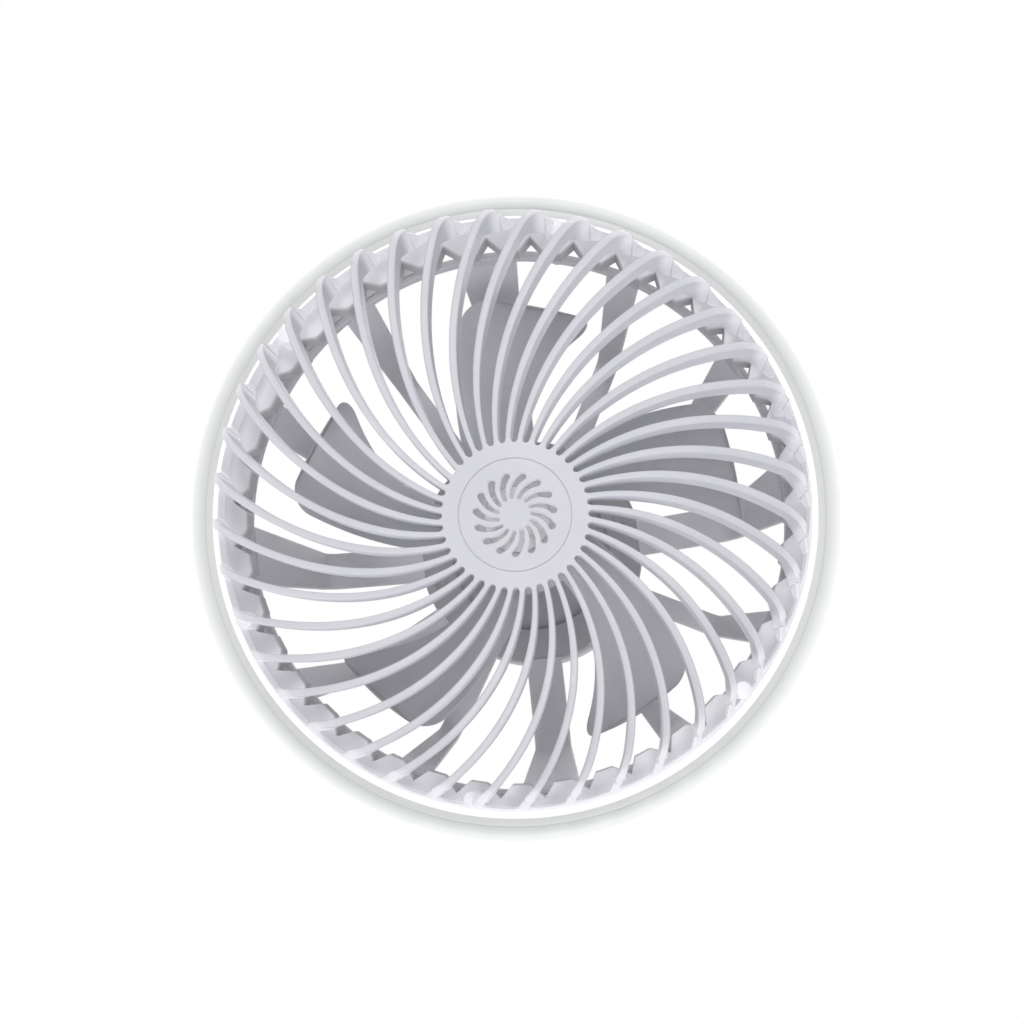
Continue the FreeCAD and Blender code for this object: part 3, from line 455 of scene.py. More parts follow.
def rounded(corners: Pairs, radii: float | Sequence[float], steps: int = 5) -> Array:
    """Closed outline whose corners are arcs.

    Each corner gives way to points on the circle of its radius that touches both of its sides, spaced by equal
    angles from the end of one side to the start of the next.

    Args:
        corners: Corners of the outline in turn.
        radii: Radius of each corner, or one for all.
        steps: Points on each arc.

    Returns:
        Points of the outline, one row each.
    """
    p = np.asarray(corners, float)
    r = np.broadcast_to(np.asarray(radii, float), (len(p),))[:, None]
    back = unit(np.roll(p, 1, axis=0) - p)
    ahead = unit(np.roll(p, -1, axis=0) - p)
    half = 0.5 * np.arccos(np.clip((back * ahead).sum(axis=1, keepdims=True), -0.99999, 0.99999))
    centre = p + unit(back + ahead) * r / np.sin(half)
    start = p + back * r / np.tan(half) - centre
    end = p + ahead * r / np.tan(half) - centre
    turn = math.pi - 2 * half
    s = np.linspace(0.0, 1.0, steps)[None, :]
    first = (np.sin((1 - s) * turn) / np.sin(turn))[:, :, None]
    last = (np.sin(s * turn) / np.sin(turn))[:, :, None]
    return (centre[:, None, :] + first * start[:, None, :] + last * end[:, None, :]).reshape(-1, 2)


def lathe(loop: Array, segments: int = 192) -> Array:
    """Surface of revolution: each point (radius, height) of an outline goes round the Z axis.

    Args:
        loop: Outline of radii and heights.
        segments: Points round the axis.

    Returns:
        Grid of outline by angle.
    """
    turn = np.linspace(0.0, 2 * math.pi, segments, endpoint=False)
    radius, height = loop[:, :1], loop[:, 1:]
    return np.stack((radius * np.cos(turn), radius * np.sin(turn), height + 0 * turn), axis=-1)


def turned(grid: Array, degrees: float) -> Array:
    """Grid turned about the Z axis: each point is multiplied by the matrix of a plane rotation.

    Args:
        grid: Points by two parameters.
        degrees: Angle of the turn.

    Returns:
        The turned grid.
    """
    a = math.radians(degrees)
    matrix = np.array(((math.cos(a), -math.sin(a), 0.0), (math.sin(a), math.cos(a), 0.0), (0.0, 0.0, 1.0)))
    return grid @ matrix.T


def polar(radius: Any, degrees: Any) -> Array:
    """Plan points at radii and angles about the Z axis."""
    a = np.radians(degrees)
    return np.stack((radius * np.cos(a), radius * np.sin(a)), axis=-1)


def circle(a: Array, b: Array, c: Array) -> tuple[Array, float]:
    """Circle through three points, from two linear equations that set its centre equally far from each.

    Args:
        a: First point.
        b: Second point.
        c: Third point.

    Returns:
        Its centre and its radius.
    """
    rows = 2 * np.stack((b - a, c - a))
    centre = np.linalg.solve(rows, np.array((b @ b - a @ a, c @ c - a @ a)))
    return centre, float(np.linalg.norm(a - centre))


def arc(a: Sequence[float], b: Sequence[float], c: Sequence[float], count: int) -> Array:
    """Points from a through b to c on one circle, spaced by equal angles about its centre.

    Args:
        a: First point.
        b: Point on the way.
        c: Last point.
        count: Number of points.

    Returns:
        Points of the arc, one row each.
    """
    ends = [np.asarray(p, float) for p in (a, b, c)]
    centre, radius = circle(*ends)
    turns = np.unwrap([math.atan2(*(p - centre)[::-1]) for p in ends])
    s = np.linspace(turns[0], turns[2], count)
    return centre + radius * np.stack((np.cos(s), np.sin(s)), axis=-1)


def block(inner: float, outer: float, first: float, last: float) -> Pairs:
    """Corners of a plain section between two radii and two heights."""
    return (inner, first), (outer, first), (outer, last), (inner, last)


def peg(section: Pairs, radii: Sequence[float], steps: int, circle_r: float) -> Array:
    """Round peg on a circle about the Z axis.

    The section's outline with rounded corners goes round its own axis, which is set out along X.

    Args:
        section: Corners of the section.
        radii: Radius of each corner.
        steps: Points on each corner's arc.
        circle_r: Radius of the circle that the peg stands on.

    Returns:
        Grid of outline by angle.
    """
    return lathe(rounded(section, radii, steps), PEG_STEPS) + np.array((circle_r, 0.0, 0.0))


def meshed(rows: int, columns: int, wrap_u: bool = False, wrap_v: bool = False) -> Array:
    """Faces between each four neighbours of a grid.

    Args:
        rows: Points along the first parameter.
        columns: Points along the second parameter.
        wrap_u: Joins the last row to the first.
        wrap_v: Joins the last column to the first.

    Returns:
        Rows of four point numbers.
    """
    index = np.arange(rows * columns).reshape(rows, columns)
    if wrap_u:
        index = np.concatenate((index, index[:1]), axis=0)
    if wrap_v:
        index = np.concatenate((index, index[:, :1]), axis=1)
    return np.stack((index[:-1, :-1], index[1:, :-1], index[1:, 1:], index[:-1, 1:]), axis=-1).reshape(-1, 4)


def raised(plan: Array, height: Array) -> Array:
    """Grid of plan points with heights spread over them."""
    return np.concatenate((plan, np.broadcast_to(height, plan.shape[:2])[:, :, None]), axis=-1)


def drawn(grid: Array, amount: Array, still: float, full: float) -> Array:
    """Grid whose points move away from the Z axis.

    The move grows evenly with the radius, from nought at one radius to its full amount at another.

    Args:
        grid: Points by two parameters.
        amount: Full move of each point.
        still: Radius where nothing moves.
        full: Radius of the full move.

    Returns:
        The changed grid.
    """
    radius = np.linalg.norm(grid[:, :, :2], axis=-1)
    share = np.clip((radius - still) / (full - still), 0.0, 1.0)
    return raised(grid[:, :, :2] * (1 + share * amount / radius)[:, :, None], grid[:, :, 2])


def capped(grid: Array) -> Array:
    """Tube whose first and last loops are closed at their middle points.

    Args:
        grid: Loops along the tube.

    Returns:
        The grid with one more loop at each end, all of it at the mean of the loop beside it.
    """
    first = np.broadcast_to(grid[:1].mean(axis=1, keepdims=True), grid[:1].shape)
    last = np.broadcast_to(grid[-1:].mean(axis=1, keepdims=True), grid[-1:].shape)
    return np.concatenate((first, grid, last))


class Skin:
    """Grids of points, in millimetres, that become one mesh object."""

    def __init__(self, name: str, sharp: float = 38.0) -> None:
        """Starts an empty skin.

        Args:
            name: Name of the object.
            sharp: Angle in degrees past which an edge stays hard.
        """
        self.name = name
        self.sharp = math.radians(sharp)
        self.points: list[Array] = []
        self.faces: list[Array] = []
        self.count = 0

    def add(self, grid: Array, wrap_u: bool = False, wrap_v: bool = False) -> None:
        """Adds the four-sided faces between neighbours of a grid.

        Args:
            grid: Points by two parameters.
            wrap_u: Joins the last row to the first.
            wrap_v: Joins the last column to the first.
        """
        rows, columns = grid.shape[:2]
        self.points.append(grid.reshape(-1, 3))
        self.faces.append(meshed(rows, columns, wrap_u, wrap_v) + self.count)
        self.count += rows * columns

    def closed(self, grid: Array) -> None:
        """Adds a grid that is joined to itself both ways."""
        self.add(grid, wrap_u=True, wrap_v=True)

    def around(self, grid: Array, count: int, phase: float = 0.0, wrap_u: bool = False) -> None:
        """Adds equally turned copies of a tube about the Z axis.

        Args:
            grid: Points of the first copy before its turn.
            count: Number of copies.
            phase: Turn of the first copy in degrees.
            wrap_u: Joins the last row of each copy to the first.
        """
        for k in range(count):
            self.add(turned(grid, phase - k * 360.0 / count), wrap_u, True)

    def build(self, body: Body, slot: str, node: str, finish: Material) -> None:
        """Makes the object, joins its seams and seats it on its body.

        Args:
            body: Rigid group that it rides on.
            slot: Material slot of the record; not used.
            node: Solid that it stands for.
            finish: Its material.
        """
        mesh = bpy.data.meshes.new(self.name)
        mesh.from_pydata((np.concatenate(self.points) * MM).tolist(), [], np.concatenate(self.faces).tolist())
        work = bmesh.new()
        work.from_mesh(mesh)
        bmesh.ops.remove_doubles(work, verts=work.verts, dist=MERGE)
        bmesh.ops.recalc_face_normals(work, faces=work.faces)
        work.to_mesh(mesh)
        work.free()
        mesh.polygons.foreach_set("use_smooth", np.ones(len(mesh.polygons), dtype=bool))
        mesh.set_sharp_from_angle(angle=self.sharp)
        mesh.materials.append(finish)
        piece = bpy.data.objects.new(self.name, mesh)
        bpy.context.scene.collection.objects.link(piece)
        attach(piece, body.value)
        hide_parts(node)
        LOG.info("%s: %d faces on %s", self.name, len(mesh.polygons), body.value)


# Sub-assemblies


@dataclass
class Grille:
    """Dished front grille: hub rim, swept ribs that turn over a rounded shoulder, and a base hoop."""

    hub_r: float = 29.8
    hub_front: float = -143.0
    hub_back: float = -140.0
    sink: float = 0.08
    slot_round: float = 0.8
    slot_steps: int = 18
    flat_in: float = 0.8
    flat_out: float = 2.6
    skirt_w: float = 2.8
    cap_recess_r: float = 22.5
    seat_r: float = 19.5
    seat_front: float = -141.4
    rib_count: int = 40
    rib_w: float = 2.9
    rib_neck: float = 2.1
    taper_r: float = 60.0
    rib_depth: float = 8.0
    rib_edge: float = 0.75
    rib_phase: float = -5.7
    sweep_mid: float = 12.5
    sweep_end: float = 30.6
    dish_mid: Pair = (68.0, -152.5)
    shoulder_in: Pair = (103.5, -169.4)
    shoulder_top: Pair = (107.9, -169.8)
    shoulder_out: Pair = (111.0, -164.5)
    base: Pair = (118.0, -142.0)
    base_in: float = 114.6
    slot_out: float = 115.2
    boss_r: float = 3.45
    boss_circle: float = 112.9
    boss_front: float = -150.0
    boss_phase: float = -22.0
    bosses: int = 6
    overlap: float = 1.5
    dish_steps: int = 30
    shoulder_steps: int = 14
    wall_steps: int = 12
    edge_steps: int = 5
    hoop_steps: int = 320

    def front_line(self) -> Array:
        """Outline of the front: an arc for the dish, an arc over the shoulder and a straight flared wall.

        Returns:
            Rows of radius and height.
        """
        dish = arc((self.hub_r, self.hub_front + self.sink), self.dish_mid, self.shoulder_in, self.dish_steps)
        shoulder = arc(self.shoulder_in, self.shoulder_top, self.shoulder_out, self.shoulder_steps)
        share = np.linspace(0.0, 1.0, self.wall_steps)[:, None]
        wall = np.array(self.shoulder_out) * (1 - share) + np.array(self.base) * share
        inner = np.array(((self.hub_r - self.overlap, self.hub_front + self.sink),))
        return np.concatenate((inner, dish, shoulder[1:], wall[1:]))

    def back_line(self) -> Array:
        """Outline of the back: the dish's arc one rib depth behind, then a straight run to the base.

        Returns:
            Rows of radius and height.
        """
        lift = np.array((0.0, self.rib_depth))
        knots = np.array(((self.hub_r, self.hub_front), self.dish_mid, self.shoulder_in)) + lift
        dish = arc(*knots, self.dish_steps)
        return np.concatenate((dish, np.array(((self.base_in, self.base[1]), (self.base[0], self.base[1])))))

    def rib_line(self, station: Array) -> tuple[Array, float, Array]:
        """Arc of one rib in plan, through three swept points.

        Args:
            station: Radii from the Z axis at which the arc is wanted.

        Returns:
            Centre of the arc, its radius, and unit vectors from that centre to the arc at each station.
        """
        ends = (self.hub_r, self.dish_mid[0], self.slot_out)
        angles = (self.rib_phase, self.rib_phase + self.sweep_mid, self.rib_phase + self.sweep_end)
        knots = polar(np.array(ends), np.array(angles))
        centre, bend = circle(*knots)
        reach = float(np.linalg.norm(centre))
        swing = np.arccos((reach ** 2 + bend ** 2 - station ** 2) / (2 * reach * bend))
        spoke = knots[1] - centre
        hand = math.copysign(1.0, -centre[0] * spoke[1] + centre[1] * spoke[0])
        turn = math.atan2(-centre[1], -centre[0]) + hand * swing
        return centre, bend, np.stack((np.cos(turn), np.sin(turn)), axis=-1)

    def rib(self) -> Array:
        """One rib, as a loop carried along its line.

        In plan the line is an arc through three swept points and the width grows evenly with the radius up to the
        full width. At each station the loop runs across the front, with rounded edges set back along the front's
        own normal, and across the back; every point takes its height from the front or back outline at its own
        radius.

        Returns:
            Grid of station by loop.
        """
        front = self.front_line()
        station = front[:-1, 0]
        centre, bend, outward = self.rib_line(station)
        half = np.interp(station, (self.hub_r, self.taper_r), (self.rib_neck / 2, self.rib_w / 2))[:, None]
        r, n = self.rib_edge, self.edge_steps
        a = np.linspace(0.0, math.pi / 2, n)
        side = np.concatenate((-np.ones(n), np.ones(n + 1), -np.ones(1)))
        inset = np.concatenate((r - r * np.cos(a), r * np.sin(a) - r, (0.0, 0.0)))
        depth = np.concatenate((r - r * np.sin(a), r - r * np.cos(a), (0.0, 0.0)))
        plan = centre + outward[:, None, :] * (bend + side * half + inset)[:, :, None]
        radius = np.linalg.norm(plan, axis=-1)
        slope = np.interp(radius, front[:, 0], np.gradient(front[:, 1], front[:, 0]))
        length = np.sqrt(1 + slope ** 2)
        height = np.interp(radius, front[:, 0], front[:, 1]) + depth / length
        draw = 1 - slope * depth / length / radius
        back = self.back_line()
        height[:, -2:] = np.interp(radius[:, -2:], back[:, 0], back[:, 1])
        return capped(raised(plan * draw[:, :, None], height))

    def hub(self) -> Array:
        """Hub rim, turned from an outline with a recess for the cap and a skirt behind.

        Between two ribs the outer radius dips by half an ellipse of the angle, which rounds the end of each slot.

        Returns:
            Grid of outline by angle.
        """
        rim = self.hub_r + self.slot_round
        skirt = self.hub_r - self.skirt_w
        skirt_back = self.hub_front + self.rib_depth
        corners = ((self.cap_recess_r, self.hub_front), (rim, self.hub_front), (rim, skirt_back), (skirt, skirt_back),
                   (skirt, self.hub_back), (self.seat_r, self.hub_back), (self.seat_r, self.seat_front),
                   (self.cap_recess_r, self.seat_front))
        outline = rounded(corners, (0.35, 0.5, 0.4, 0.4, 0.6, 0.3, 0.3, 0.2), self.edge_steps)
        flat = np.array(((self.cap_recess_r + self.flat_in, self.hub_front), (rim - self.flat_out, self.hub_front)))
        grid = lathe(np.insert(outline, self.edge_steps, flat, axis=0), self.slot_steps * self.rib_count)
        centre, bend, outward = self.rib_line(np.array((rim,)))
        rib = math.atan2(*(centre + bend * outward[0])[::-1])
        pitch = 2 * math.pi / self.rib_count
        turn = np.arctan2(grid[:, :, 1], grid[:, :, 0])
        off = np.abs((turn - rib) % pitch / pitch - 0.5) * 2
        wide = 1 - self.rib_neck / (rim * pitch)
        dip = 2 * self.slot_round * np.sqrt(np.clip(1 - (off / wide) ** 2, 0.0, 1.0))
        return drawn(grid, -dip, skirt, rim)

    def base_hoop(self) -> Array:
        """Base hoop, turned from a thin wedge under the flared wall.

        Returns:
            Grid of outline by angle.
        """
        lean = (self.base[0] - self.shoulder_out[0]) / (self.base[1] - self.shoulder_out[1])
        top = self.base[1] - (self.base[0] - self.slot_out) / lean
        corners = ((self.slot_out, top), self.base, (self.slot_out, self.base[1]))
        return lathe(rounded(corners, (0.25, 0.3, 0.2), 4), self.hoop_steps)

    def boss(self) -> Array:
        """Screw boss on the foot circle, turned from a closed outline and set out to its place."""
        section = block(0.0, self.boss_r, self.boss_front, self.base[1])
        return peg(section, (0.0, 0.5, 0.2, 0.0), 4, self.boss_circle)

    def build(self, finish: Material) -> None:
        """Makes the grille as one moulding.

        Args:
            finish: Material of the moulding.
        """
        skin = Skin("grille_moulding")
        skin.around(self.rib(), self.rib_count)
        skin.closed(self.hub())
        skin.closed(self.base_hoop())
        skin.around(self.boss(), self.bosses, self.boss_phase, True)
        skin.build(Body.FAN, "grille_white", "front_grille", finish)


@dataclass
class HubCap:
    """Round insert of the hub with swept vents."""

    radius: float = 22.4
    front: float = -143.6
    back: float = -141.4
    edge: float = 0.5
    vents: int = 15
    half_out: float = 1.45
    half_in: float = 0.8
    lip: float = 0.25
    outer: Pair = (15.4, -7.0)
    middle: Pair = (11.4, -19.0)
    inner: Pair = (7.0, -28.0)
    cell_in: float = 4.6
    cell_out: float = 18.2
    fan_steps: int = 9
    spigot_r: float = 19.3
    spigot_wall: float = 1.6
    spigot_back: float = -138.6
    line_steps: int = 13
    lip_steps: int = 4
    edge_steps: int = 5
    pipe_steps: int = 96

    def vent_line(self) -> tuple[Array, Array]:
        """Centre line of one vent: an arc through three swept points.

        Returns:
            Plan points of the line, and its unit normals there.
        """
        points = arc(*(polar(np.float64(r), a) for r, a in (self.inner, self.middle, self.outer)),
                     self.line_steps)
        along = unit(np.gradient(points, axis=0))
        return points, np.stack((-along[:, 1], along[:, 0]), axis=-1)

    def slot(self, grow: float) -> Array:
        """Outline of one vent: its line set off to both sides by the half width and closed by half circles.

        The half width grows evenly from the inner end to the outer end.

        Args:
            grow: Extra width all round.

        Returns:
            Plan points of the outline.
        """
        line, side = self.vent_line()
        reach = np.linspace(self.half_in, self.half_out, len(line))[:, None] + grow
        a = np.linspace(0.0, math.pi, self.fan_steps)[1:-1, None]
        ends = []
        for tip, normal, half in ((line[-1], side[-1], reach[-1]), (line[0], -side[0], reach[0])):
            forward = np.array((normal[1], -normal[0]))
            ends.append(tip + half * (np.cos(a) * normal + np.sin(a) * forward))
        return np.concatenate((line + reach * side, ends[0], (line - reach * side)[::-1], ends[1]))

    def cell(self) -> Array:
        """Outline of the sector that one vent stands in, matched point by point to the vent's outline.

        The two sides follow the vent's own line turned half a pitch each way and the ends are arcs.

        Returns:
            Plan points of the outline.
        """
        line, _ = self.vent_line()
        turn, fan = self.spokes()
        radius = np.linspace(self.cell_in, self.cell_out, len(line))
        middle = np.interp(radius, np.linalg.norm(line, axis=1), turn)
        half, fan = fan[0], fan[1:-1]
        return np.concatenate((polar(radius, middle + half), polar(self.cell_out, middle[-1] + fan),
                               polar(radius, middle - half)[::-1], polar(self.cell_in, middle[0] - fan)))

    def vent_patch(self) -> Array:
        """Rows of outlines from the sector's edge on the back, through the vent and out to that edge on the front.

        Returns:
            Grid of outline by point.
        """
        cell, plain = self.cell(), self.slot(0.0)
        a = np.linspace(0.0, math.pi / 2, self.lip_steps)
        rows = [(cell, self.back), (plain, self.back), (plain, self.front + self.lip)]
        rows += [(self.slot(self.lip * (1 - math.cos(t))), self.front + self.lip * (1 - math.sin(t))) for t in a[1:]]
        rim = self.slot(self.lip)
        rows += [(rim * (1 - s) + cell * s, self.front) for s in (0.35, 0.7, 1.0)]
        return np.stack([np.column_stack((plan, np.full(len(plan), z))) for plan, z in rows])

    def spokes(self) -> tuple[Array, Array]:
        """Angles by which rim and middle meet a sector point by point.

        Returns:
            Angles of the vent's line, and of a sector's end points about them, in degrees.
        """
        line, _ = self.vent_line()
        turn = np.degrees(np.unwrap(np.arctan2(line[:, 1], line[:, 0])))
        half = 180.0 / self.vents
        return turn, np.linspace(half, -half, self.fan_steps)

    def fringe(self, loop: Array, middle: float, fan: Array) -> Array:
        """Piece of revolution over one sector, from an open outline of radii and heights."""
        return raised(polar(loop[:, :1], middle + fan[None, :]), loop[:, 1:])

    def build(self, finish: Material) -> None:
        """Makes the cap: sectors with vents, a rounded rim, a plain middle and a spigot behind.

        Args:
            finish: Material of the cap.
        """
        turn, fan = self.spokes()
        a = np.linspace(0.0, math.pi / 2, self.edge_steps)
        edge = np.column_stack((self.radius - self.edge * (1 - np.sin(a)), self.front + self.edge * (1 - np.cos(a))))
        rim = np.concatenate((((self.cell_out, self.front),), edge,
                              ((self.radius, self.back), (self.cell_out, self.back))))
        skin = Skin("vented_hub_cap")
        vent = self.vent_patch()
        around = self.fringe(rim, turn[-1], fan)
        disc = [self.fringe(np.array(((self.cell_in, z), (self.cell_in / 2, z), (0.0, z))), turn[0], fan)
                for z in (self.front, self.back)]
        for k in range(self.vents):
            step = k * 360.0 / self.vents
            skin.add(turned(vent, step), wrap_v=True)
            for grid in (around, *disc):
                skin.add(turned(grid, step))
        pipe = block(self.spigot_r - self.spigot_wall, self.spigot_r, self.back, self.spigot_back)
        skin.closed(lathe(rounded(pipe, 0.2, 3), self.pipe_steps))
        skin.build(Body.FAN, "grille_white", "hub_cap", finish)


@dataclass
class RingLight:
    """Round-edged ring housing with its lit band."""

    inner: float = 106.7
    teeth: int = 40
    tooth_steps: int = 16
    notch: float = 5.6
    notch_turns: Triple = (-89.4, -87.2, -84.1)
    outer: float = 130.0
    back: float = -133.0
    front: float = -142.0
    floor: float = -135.0
    edge: float = 4.2
    lip: float = 1.4
    seat_out: float = 117.6
    seat_wall: float = 1.6
    band_in: float = 118.4
    band_out: float = 123.0
    band_front: float = -142.4
    band_flange: float = 124.6
    band_leg: float = 119.4
    flange_t: float = 1.2
    leg_gap: float = 1.2
    gap: float = 0.2
    post_r: float = 3.0
    post_circle: float = 112.9
    post_phase: float = -22.0
    posts: int = 6
    band_steps: int = 320

    def housing(self) -> Array:
        """Housing, turned from a channel outline with a large round on both outer edges and a hollow seat.

        The seat's inner wall is drawn outward by a triangle wave of the angle, which leaves teeth between notches.

        Returns:
            Grid of outline by angle.
        """
        mouth = self.band_out + self.gap
        lip_back = self.front + self.lip
        wall = self.outer - self.lip
        seat_painted_shade = self.front + self.seat_wall
        hollow = (self.inner + self.seat_wall, self.seat_out - self.seat_wall)
        corners = ((hollow[1], self.back), (self.outer, self.back), (self.outer, self.front), (mouth, self.front),
                   (mouth, lip_back), (wall, lip_back), (wall, self.floor), (self.seat_out, self.floor),
                   (self.seat_out, self.front), (self.inner, self.front), (self.inner, self.back),
                   (hollow[0], self.back), (hollow[0], seat_painted_shade), (hollow[1], seat_painted_shade))
        radii = (0.3, self.edge, self.edge, 0.5, 0.2, 2.8, 0.3, 0.3, 0.3, 0.5, 0.5, 0.3, 0.3, 0.3)
        grid = lathe(rounded(corners, radii, 6), self.tooth_steps * self.teeth)
        start, deep, end = self.notch_turns
        pitch = 360.0 / self.teeth
        turn = (np.degrees(np.arctan2(grid[:, :, 1], grid[:, :, 0])) - start) % pitch
        wave = np.interp(turn, (0.0, deep - start, end - start, pitch), (0.0, self.notch, 0.0, 0.0))
        return drawn(grid, wave, hollow[1], hollow[0])

    def band(self) -> Array:
        """Diffuser, turned from an outline with rounded front edges, a flange and a leg.

        Returns:
            Grid of outline by angle.
        """
        flange_front = self.front + self.lip + self.gap
        flange_back = flange_front + self.flange_t
        corners = ((self.band_in, self.band_front), (self.band_out, self.band_front), (self.band_out, flange_front),
                   (self.band_flange, flange_front), (self.band_flange, flange_back), (self.band_leg, flange_back),
                   (self.band_leg, self.floor - self.leg_gap), (self.band_in, self.floor - self.leg_gap))
        return lathe(rounded(corners, (0.7, 0.7, 0.2, 0.3, 0.3, 0.2, 0.2, 0.2), 5), self.band_steps)

    def build(self, rim: Material, glow: Material) -> None:
        """Makes the housing and the band.

        Args:
            rim: Material of the housing.
            glow: Material of the band.
        """
        ring = Skin("ring_moulding")
        ring.closed(self.housing())
        post = peg(block(0.0, self.post_r, self.front, self.back), (0.0, 0.3, 0.3, 0.0), 3, self.post_circle)
        ring.around(post, self.posts, self.post_phase, True)
        ring.build(Body.FAN, "ring_white", "ring_housing", rim)
        band = Skin("lit_band")
        band.closed(self.band())
        band.build(Body.FAN, "band_glow", "light_diffuser", glow)


@dataclass
class RearGuard:
    """Collar under the pod, bent stays, and a hoop that stands off the ring on feet."""

    collar_in: float = 38.0
    collar_out: float = 54.0
    collar_top: float = -45.0
    collar_bottom: float = -48.0
    hoop_in: float = 109.8
    hoop_out: float = 112.8
    hoop_top: float = -123.0
    hoop_bottom: float = -127.0
    web_in: float = 111.3
    web_out: float = 116.0
    web_top: float = -125.0
    web_turn: Pair = (-384.0, -112.0)
    foot_r: float = 3.0
    foot_circle: float = 112.9
    foot_bottom: float = -133.0
    feet: int = 6
    stays: int = 12
    broad_every: int = 3
    widths: Pair = (15.0, 10.0)
    broad_widths: Pair = (26.0, 17.0)
    stay_t: float = 3.0
    stay_phase: float = -7.0
    corner: Pair = (96.3, -60.0)
    bend_r: float = 10.0
    seat: float = 0.4
    head_in: float = 1.0
    run_steps: int = 5
    bend_steps: int = 9
    web_steps: int = 200
    hoop_steps: int = 256

    def stay_line(self) -> tuple[Array, Array]:
        """Middle line of a stay in a plane through the axis, and its outward unit normals.

        A straight run rises from the hoop, turns on a circle that touches both runs, and a second straight run
        goes in to the collar.

        Returns:
            Rows of radius and height, and rows of normals.
        """
        corner = np.array(self.corner)
        foot = np.array(((self.hoop_in + self.hoop_out) / 2, self.hoop_bottom))
        head = np.array((self.collar_out - self.stay_t, (self.collar_top + self.collar_bottom) / 2))
        foot += (corner - foot) * (self.hoop_top - self.seat - foot[1]) / (corner[1] - foot[1])
        head += (corner - head) * (self.collar_out - self.head_in - head[0]) / (corner[0] - head[0])
        down, inward = unit(foot - corner), unit(head - corner)
        half = 0.5 * math.acos(float(down @ inward))
        middle = unit(down + inward)
        centre = corner + middle * self.bend_r / math.sin(half)
        low, high = (corner + way * self.bend_r / math.tan(half) for way in (down, inward))
        turn = arc(low, centre - middle * self.bend_r, high, self.bend_steps)
        share = np.linspace(0.0, 1.0, self.run_steps, endpoint=False)[:, None]
        line = np.concatenate((foot + (low - foot) * share, turn, (head + (high - head) * share)[::-1]))
        spokes = (turn - centre) / self.bend_r
        flat = [np.repeat(end, self.run_steps, axis=0) for end in (spokes[:1], spokes[-1:])]
        return line, np.concatenate((flat[0], spokes, flat[1]))

    def stay(self, width: float, neck: float) -> Array:
        """One stay: a rounded bar section carried along the middle line.

        The section's thickness lies along the line's normal and its width is level; the width grows evenly with
        the radius from the neck at the bend to the full width at the hoop.

        Args:
            width: Width at the hoop.
            neck: Width from the bend to the collar.

        Returns:
            Grid of station by section.
        """
        line, normal = self.stay_line()
        t = self.stay_t / 2
        section = rounded(((-t, -t), (t, -t), (t, t), (-t, t)), 0.8, 4)
        half = np.interp(line[:, 0], (self.corner[0], self.hoop_out), (neck / 2, width / 2))
        level = section[None, :, 0] + np.sign(section[None, :, 0]) * (half[:, None] - t)
        spot = line[:, None, :] + normal[:, None, :] * section[None, :, 1:]
        return capped(np.stack((spot[:, :, 0], level, spot[:, :, 1]), axis=-1))

    def web(self) -> Array:
        """Thin web round most of the hoop: a rounded section carried round the Z axis over part of a turn.

        Returns:
            Grid of angle by section.
        """
        loop = rounded(block(self.web_in, self.web_out, self.hoop_bottom, self.web_top), 0.4, 4)
        turn = np.linspace(*self.web_turn, self.web_steps)[:, None]
        return capped(raised(polar(loop[None, :, 0], turn), loop[None, :, 1]))

    def foot(self) -> Array:
        """Foot of the hoop, turned and set out to the foot circle."""
        section = block(0.0, self.foot_r, self.hoop_top, self.foot_bottom)
        return peg(section, (0.0, 0.3, 0.3, 0.0), 3, self.foot_circle)

    def build(self, finish: Material, inner: Material) -> None:
        """Makes the collar, the stays and the hoop.

        Args:
            finish: Material of the stays and the hoop.
            inner: Material of the collar.
        """
        collar = Skin("collar_ring")
        section = block(self.collar_in, self.collar_out, self.collar_top, self.collar_bottom)
        collar.closed(lathe(rounded(section, 0.6, 4)))
        collar.build(Body.FAN, "guard_white", "guard_collar", inner)
        bars = Skin("bent_stays")
        pitch = 360.0 / self.stays
        for k in range(self.stays):
            widths = self.widths if k % self.broad_every else self.broad_widths
            bars.add(turned(self.stay(*widths), self.stay_phase - k * pitch), wrap_v=True)
        bars.build(Body.FAN, "guard_white", "guard_stays", finish)
        hoop = Skin("rear_hoop_ring")
        section = block(self.hoop_in, self.hoop_out, self.hoop_top, self.hoop_bottom)
        hoop.closed(lathe(rounded(section, 0.6, 5), self.hoop_steps))
        hoop.add(self.web(), wrap_v=True)
        hoop.around(self.foot(), self.feet, self.stay_phase - pitch / 2, True)
        hoop.build(Body.FAN, "guard_white", "rear_hoop", finish)


